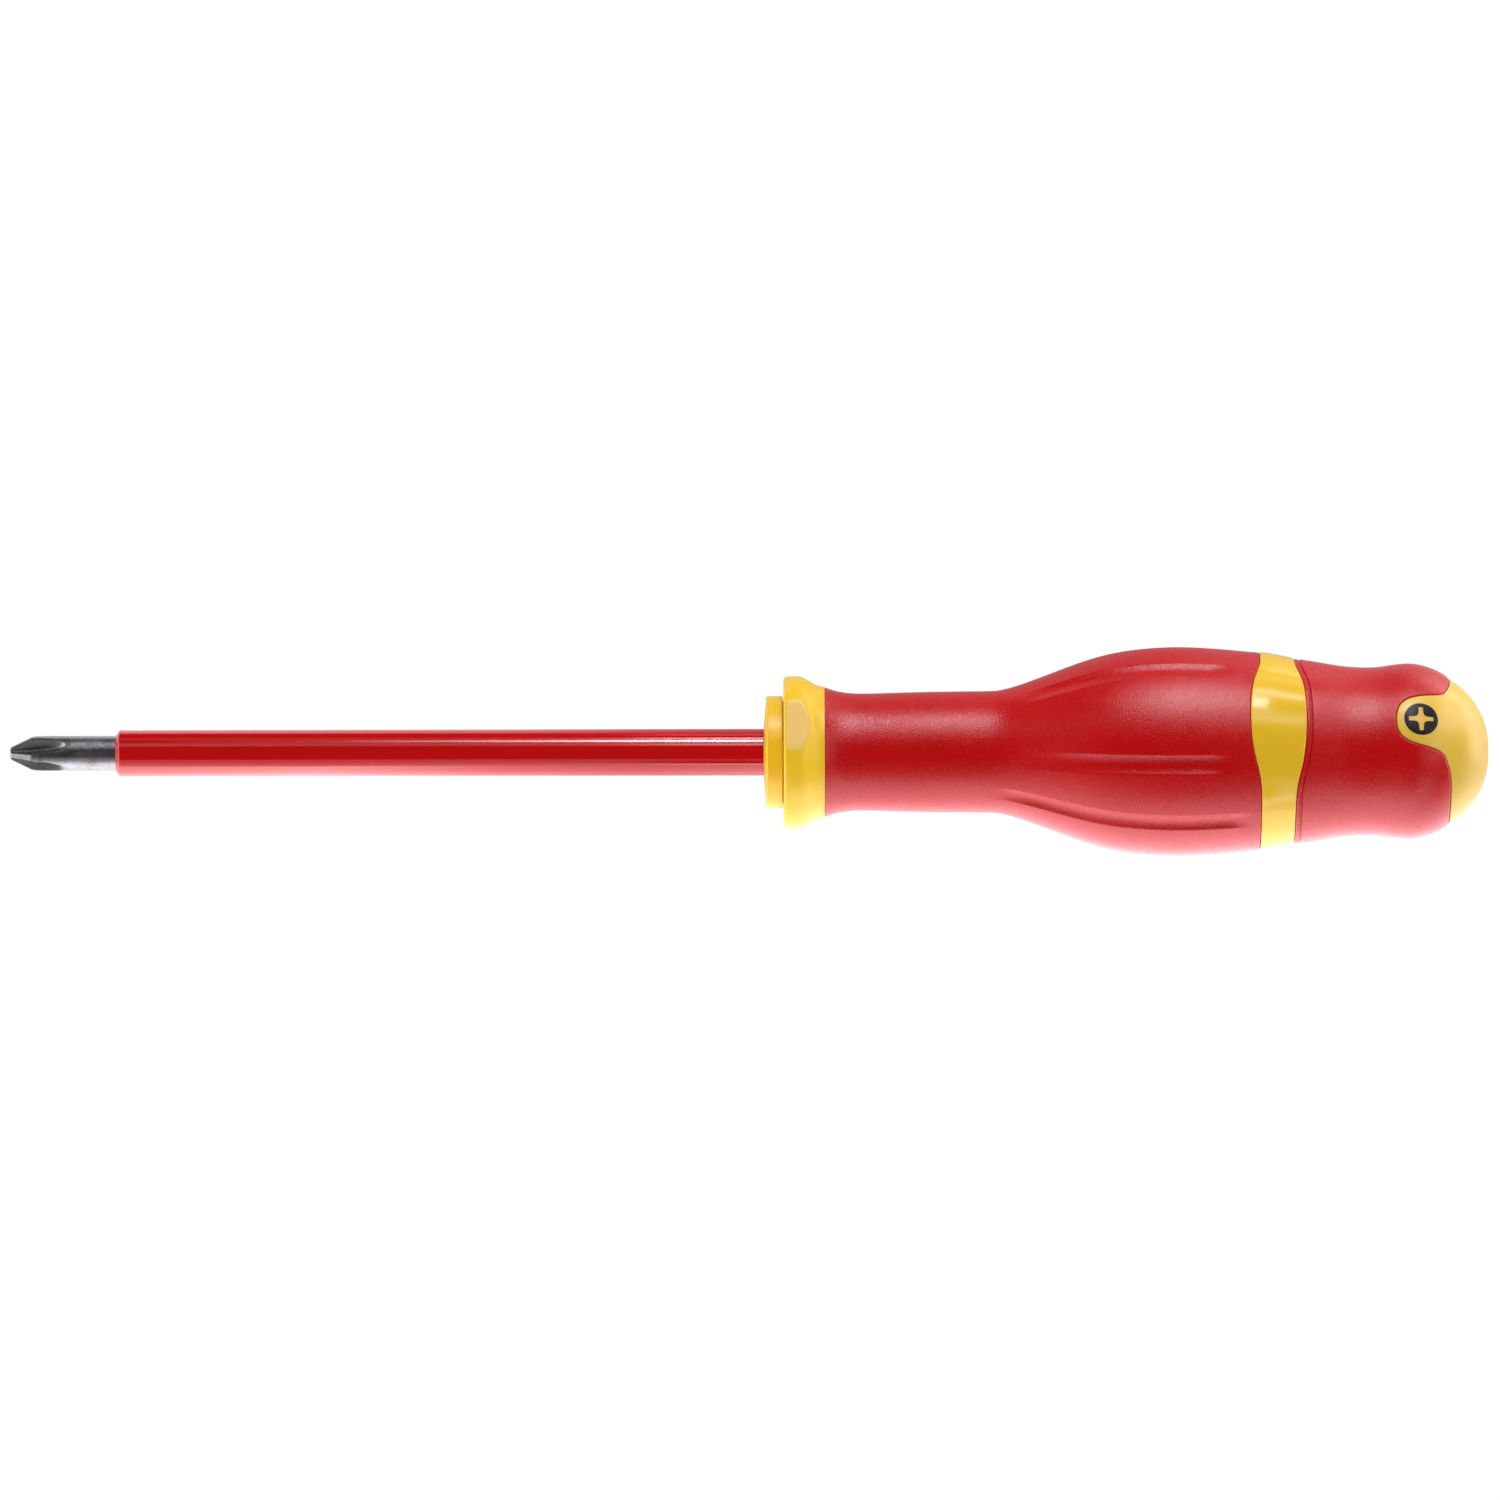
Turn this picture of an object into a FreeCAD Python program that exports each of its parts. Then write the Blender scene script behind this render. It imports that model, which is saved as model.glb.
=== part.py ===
import FreeCAD, Part
import os
import Sketcher

# Insulated cross-head screwdriver, PH2 x 125.
# Tool axis along X: drive tip at the origin, handle towards +X, the two
# anti-roll flats of the guard facing +Z and -Z.  Millimetres.

V = FreeCAD.Vector
doc = FreeCAD.newDocument("insulated_screwdriver")
sheet = doc.addObject("Spreadsheet::Sheet", "dims")

DIMS = [
    # blade
    ("blade_radius", 2.9),
    ("tip_flat_radius", 0.85),
    ("tip_round_x", 0.35),
    ("tip_round_radius", 1.16),
    ("tip_cone_x", 3.85),
    ("tip_shoulder_x", 4.6),
    ("tip_shoulder_radius", 2.83),
    ("tang_end_x", 208.0),
    ("flute_start_x", -0.2),
    ("flute_knee_x", 4.6),
    ("flute_end_x", 9.6),
    ("flute_start_half", 0.36),
    ("flute_knee_half", 0.66),
    ("flute_end_half", 2.1),
    ("flute_reach", 5.0),
    ("flute_count", 4),
    ("wing_roll", -39.0),
    ("tang_wing_one_x", 150.0),
    ("tang_wing_two_x", 190.0),
    ("tang_wing_length", 10.0),
    ("tang_wing_half", 4.4),
    ("tang_wing_thick", 1.6),
    # insulating sleeve
    ("sleeve_radius", 3.86),
    ("sleeve_front_x", 17.5),
    ("sleeve_chamfer_x", 18.1),
    ("sleeve_front_radius", 3.0),
    ("sleeve_seat_radius", 3.55),
    ("sleeve_end_x", 140.0),
    # nose ring
    ("nose_face_x", 124.88),
    ("nose_rim_x", 125.3),
    ("nose_rim_radius", 9.0),
    ("nose_edge_x", 125.62),
    ("nose_radius", 9.3),
    ("nose_back_edge_x", 127.85),
    ("nose_back_x", 128.0),
    ("nose_back_radius", 9.12),
    ("nose_step_radius", 8.5),
    # guard flange
    ("guard_face_x", 128.15),
    ("guard_face_radius", 11.95),
    ("guard_p1_x", 128.2),
    ("guard_p1_radius", 12.5),
    ("guard_p2_x", 129.2),
    ("guard_p2_radius", 12.57),
    ("guard_p3_x", 130.9),
    ("guard_p3_radius", 12.62),
    ("guard_p4_x", 132.0),
    ("guard_p4_radius", 12.15),
    ("guard_p5_x", 133.2),
    ("guard_p5_radius", 11.25),
    ("guard_p6_x", 134.3),
    ("guard_p6_radius", 10.9),
    ("guard_back_x", 134.95),
    ("guard_back_radius", 10.79),
    ("guard_flat_height", 11.69),
    ("guard_cut_reach", 16.0),
    # hard core
    ("core_neck_radius", 7.0),
    ("core_neck_end_x", 172.0),
    ("core_bulge_start_x", 188.0),
    ("core_bulge_radius", 13.4),
    ("core_bulge_end_x", 216.0),
    ("core_rear_x", 223.0),
    ("core_rear_radius", 11.0),
    ("core_step_x", 238.37),
    ("core_spigot_radius", 7.0),
    ("core_end_x", 241.0),
    # front grip, outer curve
    ("fg_p1_x", 136.0), ("fg_p1_radius", 10.31),
    ("fg_p2_x", 138.0), ("fg_p2_radius", 9.83),
    ("fg_p3_x", 141.0), ("fg_p3_radius", 9.62),
    ("fg_p4_x", 147.0), ("fg_p4_radius", 9.85),
    ("fg_p5_x", 154.0), ("fg_p5_radius", 10.0),
    ("fg_p6_x", 160.0), ("fg_p6_radius", 10.05),
    ("fg_p7_x", 164.0), ("fg_p7_radius", 10.06),
    ("fg_p8_x", 168.0), ("fg_p8_radius", 11.34),
    ("fg_p9_x", 172.0), ("fg_p9_radius", 12.82),
    ("fg_p10_x", 177.0), ("fg_p10_radius", 14.77),
    ("fg_p11_x", 182.0), ("fg_p11_radius", 16.31),
    ("fg_p12_x", 188.0), ("fg_p12_radius", 17.19),
    ("fg_p13_x", 194.0), ("fg_p13_radius", 17.45),
    ("fg_p14_x", 200.0), ("fg_p14_radius", 17.09),
    ("fg_p15_x", 205.0), ("fg_p15_radius", 16.64),
    ("fg_end_x", 210.0), ("fg_end_radius", 16.02),
    # shallow finger flutes pressed into the swell
    ("swell_flute_x", 194.5),
    ("swell_flute_path", 60.45),
    ("swell_flute_radius", 2.45),
    ("swell_flute_lift", 19.45),
    ("swell_flute_forward", 25.0),
    ("swell_flute_back", 8.9),
    ("swell_flute_roll_a", 29.5),
    ("swell_flute_roll_b", 65.5),
    # seam between front grip and band (x at centre and out to the sides)
    ("seam_y1", 4.5), ("seam_y2", 8.0), ("seam_y3", 10.5), ("seam_y4", 13.0),
    ("seam_y5", 20.0),
    ("seam_front_x0", 205.05), ("seam_front_x1", 205.25),
    ("seam_front_x2", 206.1), ("seam_front_x3", 206.95),
    ("seam_front_x4", 207.02),
    ("seam_rear_x0", 214.48), ("seam_rear_x1", 214.3),
    ("seam_rear_x2", 213.75), ("seam_rear_x3", 212.8),
    ("seam_rear_x4", 212.62),
    ("lip_x0", 215.4), ("lip_x1", 215.2),
    ("lip_x2", 214.65), ("lip_x3", 213.75),
    ("lip_x4", 213.57),
    ("cut_front_x", 190.0),
    ("cut_rear_x", 230.0),
    ("cut_span", 60.0),
    # window band, outer curve
    ("band_start_x", 203.5), ("band_start_radius", 16.76),
    ("band_p1_x", 206.5), ("band_p1_radius", 16.54),
    ("band_p2_x", 208.6), ("band_p2_radius", 16.27),
    ("band_p3_x", 210.6), ("band_p3_radius", 15.85),
    ("band_p4_x", 212.6), ("band_p4_radius", 15.47),
    ("band_end_x", 216.0), ("band_end_radius", 15.05),
    # rear grip, outer curve
    ("rg_start_x", 212.0), ("rg_start_radius", 15.52),
    ("rg_p1_x", 216.0), ("rg_p1_radius", 14.97),
    ("rg_p2_x", 220.0), ("rg_p2_radius", 14.17),
    ("rg_p3_x", 223.0), ("rg_p3_radius", 13.92),
    ("rg_p4_x", 226.0), ("rg_p4_radius", 13.83),
    ("rg_p5_x", 229.0), ("rg_p5_radius", 14.27),
    ("rg_p6_x", 232.0), ("rg_p6_radius", 14.63),
    ("rg_p7_x", 235.0), ("rg_p7_radius", 14.0),
    ("rg_p8_x", 237.2), ("rg_p8_radius", 13.0),
    ("rg_end_radius", 12.06),
    ("lip_start_radius", 15.36),
    ("lip_end_x", 217.2),
    ("lip_end_radius", 14.55),
    # end cap
    ("tongue_root_x", 228.0), ("tongue_root_radius", 14.08),
    ("tongue_p1_x", 230.0), ("tongue_p1_radius", 14.45),
    ("tongue_p2_x", 232.0), ("tongue_p2_radius", 14.56),
    ("tongue_p3_x", 234.0), ("tongue_p3_radius", 14.18),
    ("tongue_p4_x", 236.2), ("tongue_p4_radius", 13.6),
    ("dome_p1_x", 240.4), ("dome_p1_radius", 10.75),
    ("dome_p2_x", 242.2), ("dome_p2_radius", 8.9),
    ("dome_p3_x", 244.0), ("dome_p3_radius", 6.2),
    ("dome_p4_radius", 2.9),
    ("overall_length", 245.0),
    # outline of the end cap's tongues, from above
    ("tongue_tip_x", 228.98),
    ("tongue_a_x", 229.64), ("tongue_a_y", 2.95),
    ("tongue_b_x", 232.1), ("tongue_b_y", 4.26),
    ("tongue_c_x", 235.07), ("tongue_c_y", 4.67),
    ("tongue_d_x", 237.06), ("tongue_d_y", 5.21),
    ("tongue_e_x", 237.58), ("tongue_e_y", 6.33),
    ("tongue_f_x", 238.32), ("tongue_f_y", 8.06),
    ("tongue_g_y", 9.5),
    ("tongue_out_y", 20.0),
    ("tongue_out_x", 224.0),
    # round drive marks let into the tongues
    ("mark_x", 233.3),
    ("mark_radius", 2.8),
    ("mark_depth_z", 13.15),
    ("mark_top_z", 16.0),
    ("cross_half_span", 2.05),
    ("cross_half_width", 0.4),
    ("trim_radius", 20.0),
    ("trim_start_x", 226.0),
]
for row, (name, value) in enumerate(DIMS, start=1):
    sheet.set("A%d" % row, name)
    sheet.set("B%d" % row, repr(value))
    sheet.setAlias("B%d" % row, name)
doc.recompute()


def val(key):
    """Value of a coordinate: 0, an alias, or an alias with a minus sign."""
    if key == 0:
        return 0.0
    if key.startswith("-"):
        return -float(sheet.get(key[1:]))
    return float(sheet.get(key))


def expr(key):
    return "-dims." + key[1:] if key.startswith("-") else "dims." + key


def plane(body, role):
    for o in body.Origin.OriginFeatures:
        if o.Role == role:
            return o
    raise RuntimeError("no origin plane " + role)


def new_body(label):
    b = doc.addObject("PartDesign::Body", label)
    b.Label = label
    return b


def new_sketch(body, name, role):
    s = body.newObject("Sketcher::SketchObject", name)
    s.AttachmentSupport = [(plane(body, role), "")]
    s.MapMode = "FlatFace"
    return s


def pin(sk, geo, pos, xk, yk):
    """Tie one sketch point to the sheet."""
    for kind, key, axis in (("DistanceX", xk, -2), ("DistanceY", yk, -1)):
        if key == 0:
            sk.addConstraint(Sketcher.Constraint("PointOnObject", geo, pos, axis))
        else:
            c = sk.addConstraint(
                Sketcher.Constraint(kind, -1, 1, geo, pos, val(key))
            )
            sk.setExpression("Constraints[%d]" % c, expr(key))


def outline(sk, verts, curves=None):
    """Closed loop through verts; curves[i] holds the poles between i and i+1."""
    curves = curves or {}
    n = len(verts)
    geos = []
    for i in range(n):
        a = V(val(verts[i][0]), val(verts[i][1]), 0)
        j = (i + 1) % n
        b = V(val(verts[j][0]), val(verts[j][1]), 0)
        if i in curves:
            poles = [a] + [V(val(x), val(y), 0) for x, y in curves[i]] + [b]
            bs = Part.BSplineCurve()
            bs.buildFromPoles(poles, False, 3)
            g = sk.addGeometry(bs, False)
            before = sk.GeometryCount
            sk.exposeInternalGeometry(g)
            for k, (x, y) in enumerate(curves[i], start=1):
                pin(sk, before + k, 3, x, y)
        else:
            g = sk.addGeometry(Part.LineSegment(a, b), False)
        geos.append(g)
    for i in range(n):
        pin(sk, geos[i], 1, verts[i][0], verts[i][1])
        sk.addConstraint(
            Sketcher.Constraint("Coincident", geos[i], 2, geos[(i + 1) % n], 1)
        )
    return sk


def revolve(body, name, sk):
    r = body.newObject("PartDesign::Revolution", name)
    r.Profile = sk
    r.ReferenceAxis = (sk, ["H_Axis"])
    r.Angle = 360.0
    doc.recompute()
    return r


def cut_through(body, name, sk):
    """Pocket both ways along the sketch normal; must remove material."""
    before = body.Shape.Volume
    p = body.newObject("PartDesign::Pocket", name)
    p.Profile = sk
    p.SideType = "Symmetric"
    p.Type = "Length"
    p.setExpression("Length", "dims.cut_span")
    doc.recompute()
    if not body.Shape.Volume < before - 1e-3:
        raise RuntimeError(name + " removed nothing")
    return p


def block_outline(sk, x_key, length_key, half_key):
    """Rectangle starting at x, centred on the tool axis."""
    a, b, hw = val(x_key), val(x_key) + val(length_key), val(half_key)
    pts = [V(a, -hw, 0), V(b, -hw, 0), V(b, hw, 0), V(a, hw, 0)]
    ids = [sk.addGeometry(Part.LineSegment(pts[i], pts[(i + 1) % 4]), False)
           for i in range(4)]
    for i in range(4):
        sk.addConstraint(
            Sketcher.Constraint("Coincident", ids[i], 2, ids[(i + 1) % 4], 1)
        )
    sk.addConstraint(Sketcher.Constraint("Horizontal", ids[0]))
    sk.addConstraint(Sketcher.Constraint("Vertical", ids[1]))
    sk.addConstraint(Sketcher.Constraint("Horizontal", ids[2]))
    pin(sk, ids[0], 1, x_key, "-" + half_key)
    pin(sk, ids[3], 1, x_key, half_key)
    c = sk.addConstraint(
        Sketcher.Constraint("DistanceX", ids[0], 1, ids[0], 2, b - a)
    )
    sk.setExpression("Constraints[%d]" % c, "dims." + length_key)


# ---------------------------------------------------------------- blade
blade = new_body("blade")
sk = new_sketch(blade, "blade_profile", "XZ_Plane")
outline(sk, [
    (0, 0),
    (0, "tip_flat_radius"),
    ("tip_round_x", "tip_round_radius"),
    ("tip_cone_x", "tip_shoulder_radius"),
    ("tip_shoulder_x", "blade_radius"),
    ("tang_end_x", "blade_radius"),
    ("tang_end_x", 0),
])
revolve(blade, "blade_bar", sk)
flute_sections = []
for tag in ("start", "knee", "end"):
    s = new_sketch(blade, "flute_" + tag, "YZ_Plane")
    s.AttachmentOffset = FreeCAD.Placement(
        V(0, 0, val("flute_%s_x" % tag)),
        FreeCAD.Rotation(V(0, 0, 1), -val("wing_roll")),
    )
    s.setExpression("AttachmentOffset.Base.z", "dims.flute_%s_x" % tag)
    half = "flute_%s_half" % tag
    outline(s, [(half, half), ("flute_reach", half),
                ("flute_reach", "flute_reach"), (half, "flute_reach")])
    flute_sections.append(s)
doc.recompute()
before = blade.Shape.Volume
loft = blade.newObject("PartDesign::SubtractiveLoft", "flute")
loft.Profile = flute_sections[0]
loft.Sections = flute_sections[1:]
loft.Ruled = True
doc.recompute()
if not blade.Shape.Volume < before - 0.5:
    raise RuntimeError("the flute removed nothing")
one = before - blade.Shape.Volume
pat = blade.newObject("PartDesign::PolarPattern", "flutes")
pat.Originals = [loft]
pat.Axis = (plane(blade, "X_Axis"), [""])
pat.Angle = 360.0
pat.setExpression("Occurrences", "dims.flute_count")
blade.Tip = pat
doc.recompute()
if not before - blade.Shape.Volume > 3.5 * one:
    raise RuntimeError("the flute pattern is incomplete")
for tag in ("one", "two"):
    sk = new_sketch(blade, "tang_wing_" + tag, "XZ_Plane")
    block_outline(sk, "tang_wing_%s_x" % tag, "tang_wing_length", "tang_wing_half")
    pad = blade.newObject("PartDesign::Pad", "tang_wings_" + tag)
    pad.Profile = sk
    pad.SideType = "Symmetric"
    pad.setExpression("Length", "dims.tang_wing_thick")
    doc.recompute()

# --------------------------------------------------------- blade sleeve
sleeve = new_body("blade_sleeve")
sk = new_sketch(sleeve, "sleeve_profile", "XZ_Plane")
outline(sk, [
    ("sleeve_front_x", "blade_radius"),
    ("sleeve_front_x", "sleeve_front_radius"),
    ("sleeve_chamfer_x", "sleeve_radius"),
    ("nose_face_x", "sleeve_radius"),
    ("nose_face_x", "sleeve_seat_radius"),
    ("sleeve_end_x", "sleeve_seat_radius"),
    ("sleeve_end_x", "blade_radius"),
])
revolve(sleeve, "sleeve_tube", sk)

# ------------------------------------------------------------ nose ring
nose = new_body("nose_ring")
sk = new_sketch(nose, "nose_profile", "XZ_Plane")
outline(sk, [
    ("nose_face_x", "sleeve_seat_radius"),
    ("nose_face_x", "sleeve_radius"),
    ("nose_rim_x", "nose_rim_radius"),
    ("nose_edge_x", "nose_radius"),
    ("nose_back_edge_x", "nose_radius"),
    ("nose_back_x", "nose_back_radius"),
    ("nose_back_x", "nose_step_radius"),
    ("guard_face_x", "nose_step_radius"),
    ("guard_face_x", "sleeve_seat_radius"),
])
revolve(nose, "nose_turned", sk)

# --------------------------------------------------------- guard flange
guard = new_body("guard_flange")
sk = new_sketch(guard, "guard_profile", "XZ_Plane")
outline(sk, [
    ("guard_face_x", "core_neck_radius"),
    ("guard_face_x", "guard_face_radius"),
    ("guard_back_x", "guard_back_radius"),
    ("guard_back_x", "core_neck_radius"),
], curves={1: [("guard_p%d_x" % i, "guard_p%d_radius" % i) for i in range(1, 7)]})
revolve(guard, "guard_turned", sk)
sk = new_sketch(guard, "guard_flats", "YZ_Plane")
for sign in ("", "-"):
    outline(sk, [
        ("-guard_cut_reach", sign + "guard_flat_height"),
        ("guard_cut_reach", sign + "guard_flat_height"),
        ("guard_cut_reach", sign + "guard_cut_reach"),
        ("-guard_cut_reach", sign + "guard_cut_reach"),
    ])
before = guard.Shape.Volume
flats = guard.newObject("PartDesign::Pocket", "anti_roll_flats")
flats.Profile = sk
flats.SideType = "Symmetric"
flats.setExpression("Length", "dims.overall_length * 2")
doc.recompute()
if not guard.Shape.Volume < before - 1.0:
    raise RuntimeError("the flats removed nothing")

# ---------------------------------------------------------- handle core
core = new_body("handle_core")
sk = new_sketch(core, "core_profile", "XZ_Plane")
outline(sk, [
    ("guard_face_x", "sleeve_seat_radius"),
    ("guard_face_x", "core_neck_radius"),
    ("core_neck_end_x", "core_neck_radius"),
    ("core_bulge_start_x", "core_bulge_radius"),
    ("core_bulge_end_x", "core_bulge_radius"),
    ("core_rear_x", "core_rear_radius"),
    ("core_step_x", "core_rear_radius"),
    ("core_step_x", "core_spigot_radius"),
    ("core_end_x", "core_spigot_radius"),
    ("core_end_x", 0),
    ("tang_end_x", 0),
    ("tang_end_x", "blade_radius"),
    ("sleeve_end_x", "blade_radius"),
    ("sleeve_end_x", "sleeve_seat_radius"),
])
revolve(core, "core_moulding", sk)
for tag in ("one", "two"):
    sk = new_sketch(core, "wing_socket_" + tag, "XZ_Plane")
    block_outline(sk, "tang_wing_%s_x" % tag, "tang_wing_length", "tang_wing_half")
    before = core.Shape.Volume
    cut = core.newObject("PartDesign::Pocket", "wing_sockets_" + tag)
    cut.Profile = sk
    cut.SideType = "Symmetric"
    cut.setExpression("Length", "dims.tang_wing_thick")
    doc.recompute()
    if not core.Shape.Volume < before - 1.0:
        raise RuntimeError("the wing socket removed nothing")


# --------------------------------------------------- seams cut from above
def seam_outline(sk, stem, far_key):
    """Region between a seam curve and a straight far side."""
    ks = ["seam_y%d" % i for i in range(1, 6)]
    poles = [("%s_x4" % stem, "-seam_y4")]
    poles += [("%s_x3" % stem, "-seam_y3"), ("%s_x2" % stem, "-seam_y2"),
              ("%s_x1" % stem, "-seam_y1"), ("%s_x0" % stem, 0),
              ("%s_x1" % stem, "seam_y1"), ("%s_x2" % stem, "seam_y2"),
              ("%s_x3" % stem, "seam_y3"), ("%s_x4" % stem, "seam_y4")]
    outline(sk, [
        ("%s_x4" % stem, "-seam_y5"),
        ("%s_x4" % stem, "seam_y5"),
        (far_key, "seam_y5"),
        (far_key, "-seam_y5"),
    ], curves={0: poles})


# ------------------------------------------------------------ front grip
front = new_body("front_grip")
sk = new_sketch(front, "front_profile", "XZ_Plane")
outline(sk, [
    ("guard_back_x", "core_neck_radius"),
    ("guard_back_x", "guard_back_radius"),
    ("fg_end_x", "fg_end_radius"),
    ("fg_end_x", "core_bulge_radius"),
    ("core_bulge_start_x", "core_bulge_radius"),
    ("core_neck_end_x", "core_neck_radius"),
], curves={1: [("fg_p%d_x" % i, "fg_p%d_radius" % i) for i in range(1, 16)]})
revolve(front, "front_moulding", sk)
sk = new_sketch(front, "front_seam", "XY_Plane")
seam_outline(sk, "seam_front", "cut_rear_x")
cut_through(front, "front_seam_cut", sk)
grooves = []
for i, (sign, key) in enumerate(
    ((1, "swell_flute_roll_a"), (-1, "swell_flute_roll_a"),
     (1, "swell_flute_roll_b"), (-1, "swell_flute_roll_b")), start=1
):
    roll = "%sdims.%s" % ("" if sign > 0 else "-", key)
    sk = new_sketch(front, "swell_flute_%d" % i, "YZ_Plane")
    # the sketch origin is the centre of the flute's long arc
    drop = "(dims.swell_flute_lift - dims.swell_flute_path)"
    sk.setExpression("AttachmentOffset.Base.x", "-sin(%s * 1deg) * %s * 1mm" % (roll, drop))
    sk.setExpression("AttachmentOffset.Base.y", "cos(%s * 1deg) * %s * 1mm" % (roll, drop))
    sk.setExpression("AttachmentOffset.Base.z", "dims.swell_flute_x * 1mm")
    sk.setExpression("AttachmentOffset.Rotation.Angle", "%s * 1deg" % roll)
    c = sk.addGeometry(
        Part.Circle(V(0, val("swell_flute_path"), 0), V(0, 0, 1),
                    val("swell_flute_radius")), False)
    sk.addConstraint(Sketcher.Constraint("PointOnObject", c, 3, -2))
    k = sk.addConstraint(
        Sketcher.Constraint("DistanceY", -1, 1, c, 3, val("swell_flute_path")))
    sk.setExpression("Constraints[%d]" % k, "dims.swell_flute_path")
    k = sk.addConstraint(Sketcher.Constraint("Radius", c, val("swell_flute_radius")))
    sk.setExpression("Constraints[%d]" % k, "dims.swell_flute_radius")
    doc.recompute()
    before = front.Shape.Volume
    g = front.newObject("PartDesign::Groove", "swell_flute_cut_%d" % i)
    g.Profile = sk
    g.ReferenceAxis = (sk, ["H_Axis"])
    g.Type = "TwoAngles"
    g.setExpression("Angle", "dims.swell_flute_back")
    g.setExpression("Angle2", "dims.swell_flute_forward")
    doc.recompute()
    if not front.Shape.Volume < before - 1.0:
        raise RuntimeError("a swell flute removed nothing")
    grooves.append(g)
before = front.Shape.Volume
pat = front.newObject("PartDesign::PolarPattern", "swell_flutes")
pat.Originals = grooves
pat.Axis = (plane(front, "X_Axis"), [""])
pat.Angle = 360.0
pat.Occurrences = 2
front.Tip = pat
doc.recompute()
if not front.Shape.Volume < before - 4.0:
    raise RuntimeError("the flute pattern removed nothing")

# ----------------------------------------------------------- window band
band = new_body("window_band")
sk = new_sketch(band, "band_profile", "XZ_Plane")
outline(sk, [
    ("band_start_x", "core_bulge_radius"),
    ("band_start_x", "band_start_radius"),
    ("band_end_x", "band_end_radius"),
    ("band_end_x", "core_bulge_radius"),
], curves={1: [("band_p%d_x" % i, "band_p%d_radius" % i) for i in range(1, 5)]})
revolve(band, "band_moulding", sk)
sk = new_sketch(band, "band_front_seam", "XY_Plane")
seam_outline(sk, "seam_front", "cut_front_x")
cut_through(band, "band_front_cut", sk)
sk = new_sketch(band, "band_rear_seam", "XY_Plane")
seam_outline(sk, "seam_rear", "cut_rear_x")
cut_through(band, "band_rear_cut", sk)


# ------------------------------------------------------ tongue outline
def tongue_poles():
    tags = "fedcba"
    poles = [("tongue_%s_x" % t, "tongue_%s_y" % t) for t in tags]
    poles.append(("tongue_tip_x", 0))
    poles += [("tongue_%s_x" % t, "-tongue_%s_y" % t) for t in reversed(tags)]
    return poles


# ------------------------------------------------------------- rear grip
rear = new_body("rear_grip")
sk = new_sketch(rear, "rear_profile", "XZ_Plane")
outline(sk, [
    ("rg_start_x", "core_bulge_radius"),
    ("rg_start_x", "rg_start_radius"),
    ("core_step_x", "rg_end_radius"),
    ("core_step_x", "core_rear_radius"),
    ("core_rear_x", "core_rear_radius"),
    ("core_bulge_end_x", "core_bulge_radius"),
], curves={1: [("rg_p%d_x" % i, "rg_p%d_radius" % i) for i in range(1, 9)]})
revolve(rear, "rear_moulding", sk)
sk = new_sketch(rear, "lip_line", "XY_Plane")
seam_outline(sk, "lip", "cut_front_x")
cut_through(rear, "lip_cut", sk)
sk = new_sketch(rear, "lip_profile", "XZ_Plane")
outline(sk, [
    ("rg_start_x", "core_bulge_radius"),
    ("rg_start_x", "lip_start_radius"),
    ("lip_end_x", "lip_end_radius"),
    ("lip_end_x", "core_bulge_radius"),
])
revolve(rear, "lip_ring", sk)
sk = new_sketch(rear, "rear_seam", "XY_Plane")
seam_outline(sk, "seam_rear", "cut_front_x")
cut_through(rear, "rear_seam_cut", sk)
sk = new_sketch(rear, "tongue_slot", "XY_Plane")
outline(sk, [
    ("core_step_x", "tongue_g_y"),
    ("core_step_x", "-tongue_g_y"),
], curves={0: tongue_poles()})
cut_through(rear, "tongue_slots", sk)

# --------------------------------------------------------------- end cap
cap = new_body("end_cap")
sk = new_sketch(cap, "cap_profile", "XZ_Plane")
outline(sk, [
    ("tongue_root_x", "core_rear_radius"),
    ("tongue_root_x", "tongue_root_radius"),
    ("core_step_x", "rg_end_radius"),
    ("overall_length", 0),
    ("core_end_x", 0),
    ("core_end_x", "core_spigot_radius"),
    ("core_step_x", "core_spigot_radius"),
    ("core_step_x", "core_rear_radius"),
], curves={
    1: [("tongue_p%d_x" % i, "tongue_p%d_radius" % i) for i in range(1, 5)],
    2: [("dome_p1_x", "dome_p1_radius"), ("dome_p2_x", "dome_p2_radius"),
        ("dome_p3_x", "dome_p3_radius"), ("overall_length", "dome_p4_radius")],
})
revolve(cap, "cap_moulding", sk)
sk = new_sketch(cap, "tongue_surround", "XY_Plane")
outline(sk, [
    ("core_step_x", "tongue_g_y"),
    ("core_step_x", "-tongue_g_y"),
    ("core_step_x", "-tongue_out_y"),
    ("tongue_out_x", "-tongue_out_y"),
    ("tongue_out_x", "tongue_out_y"),
    ("core_step_x", "tongue_out_y"),
], curves={0: tongue_poles()})
cut_through(cap, "tongue_surround_cut", sk)


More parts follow.
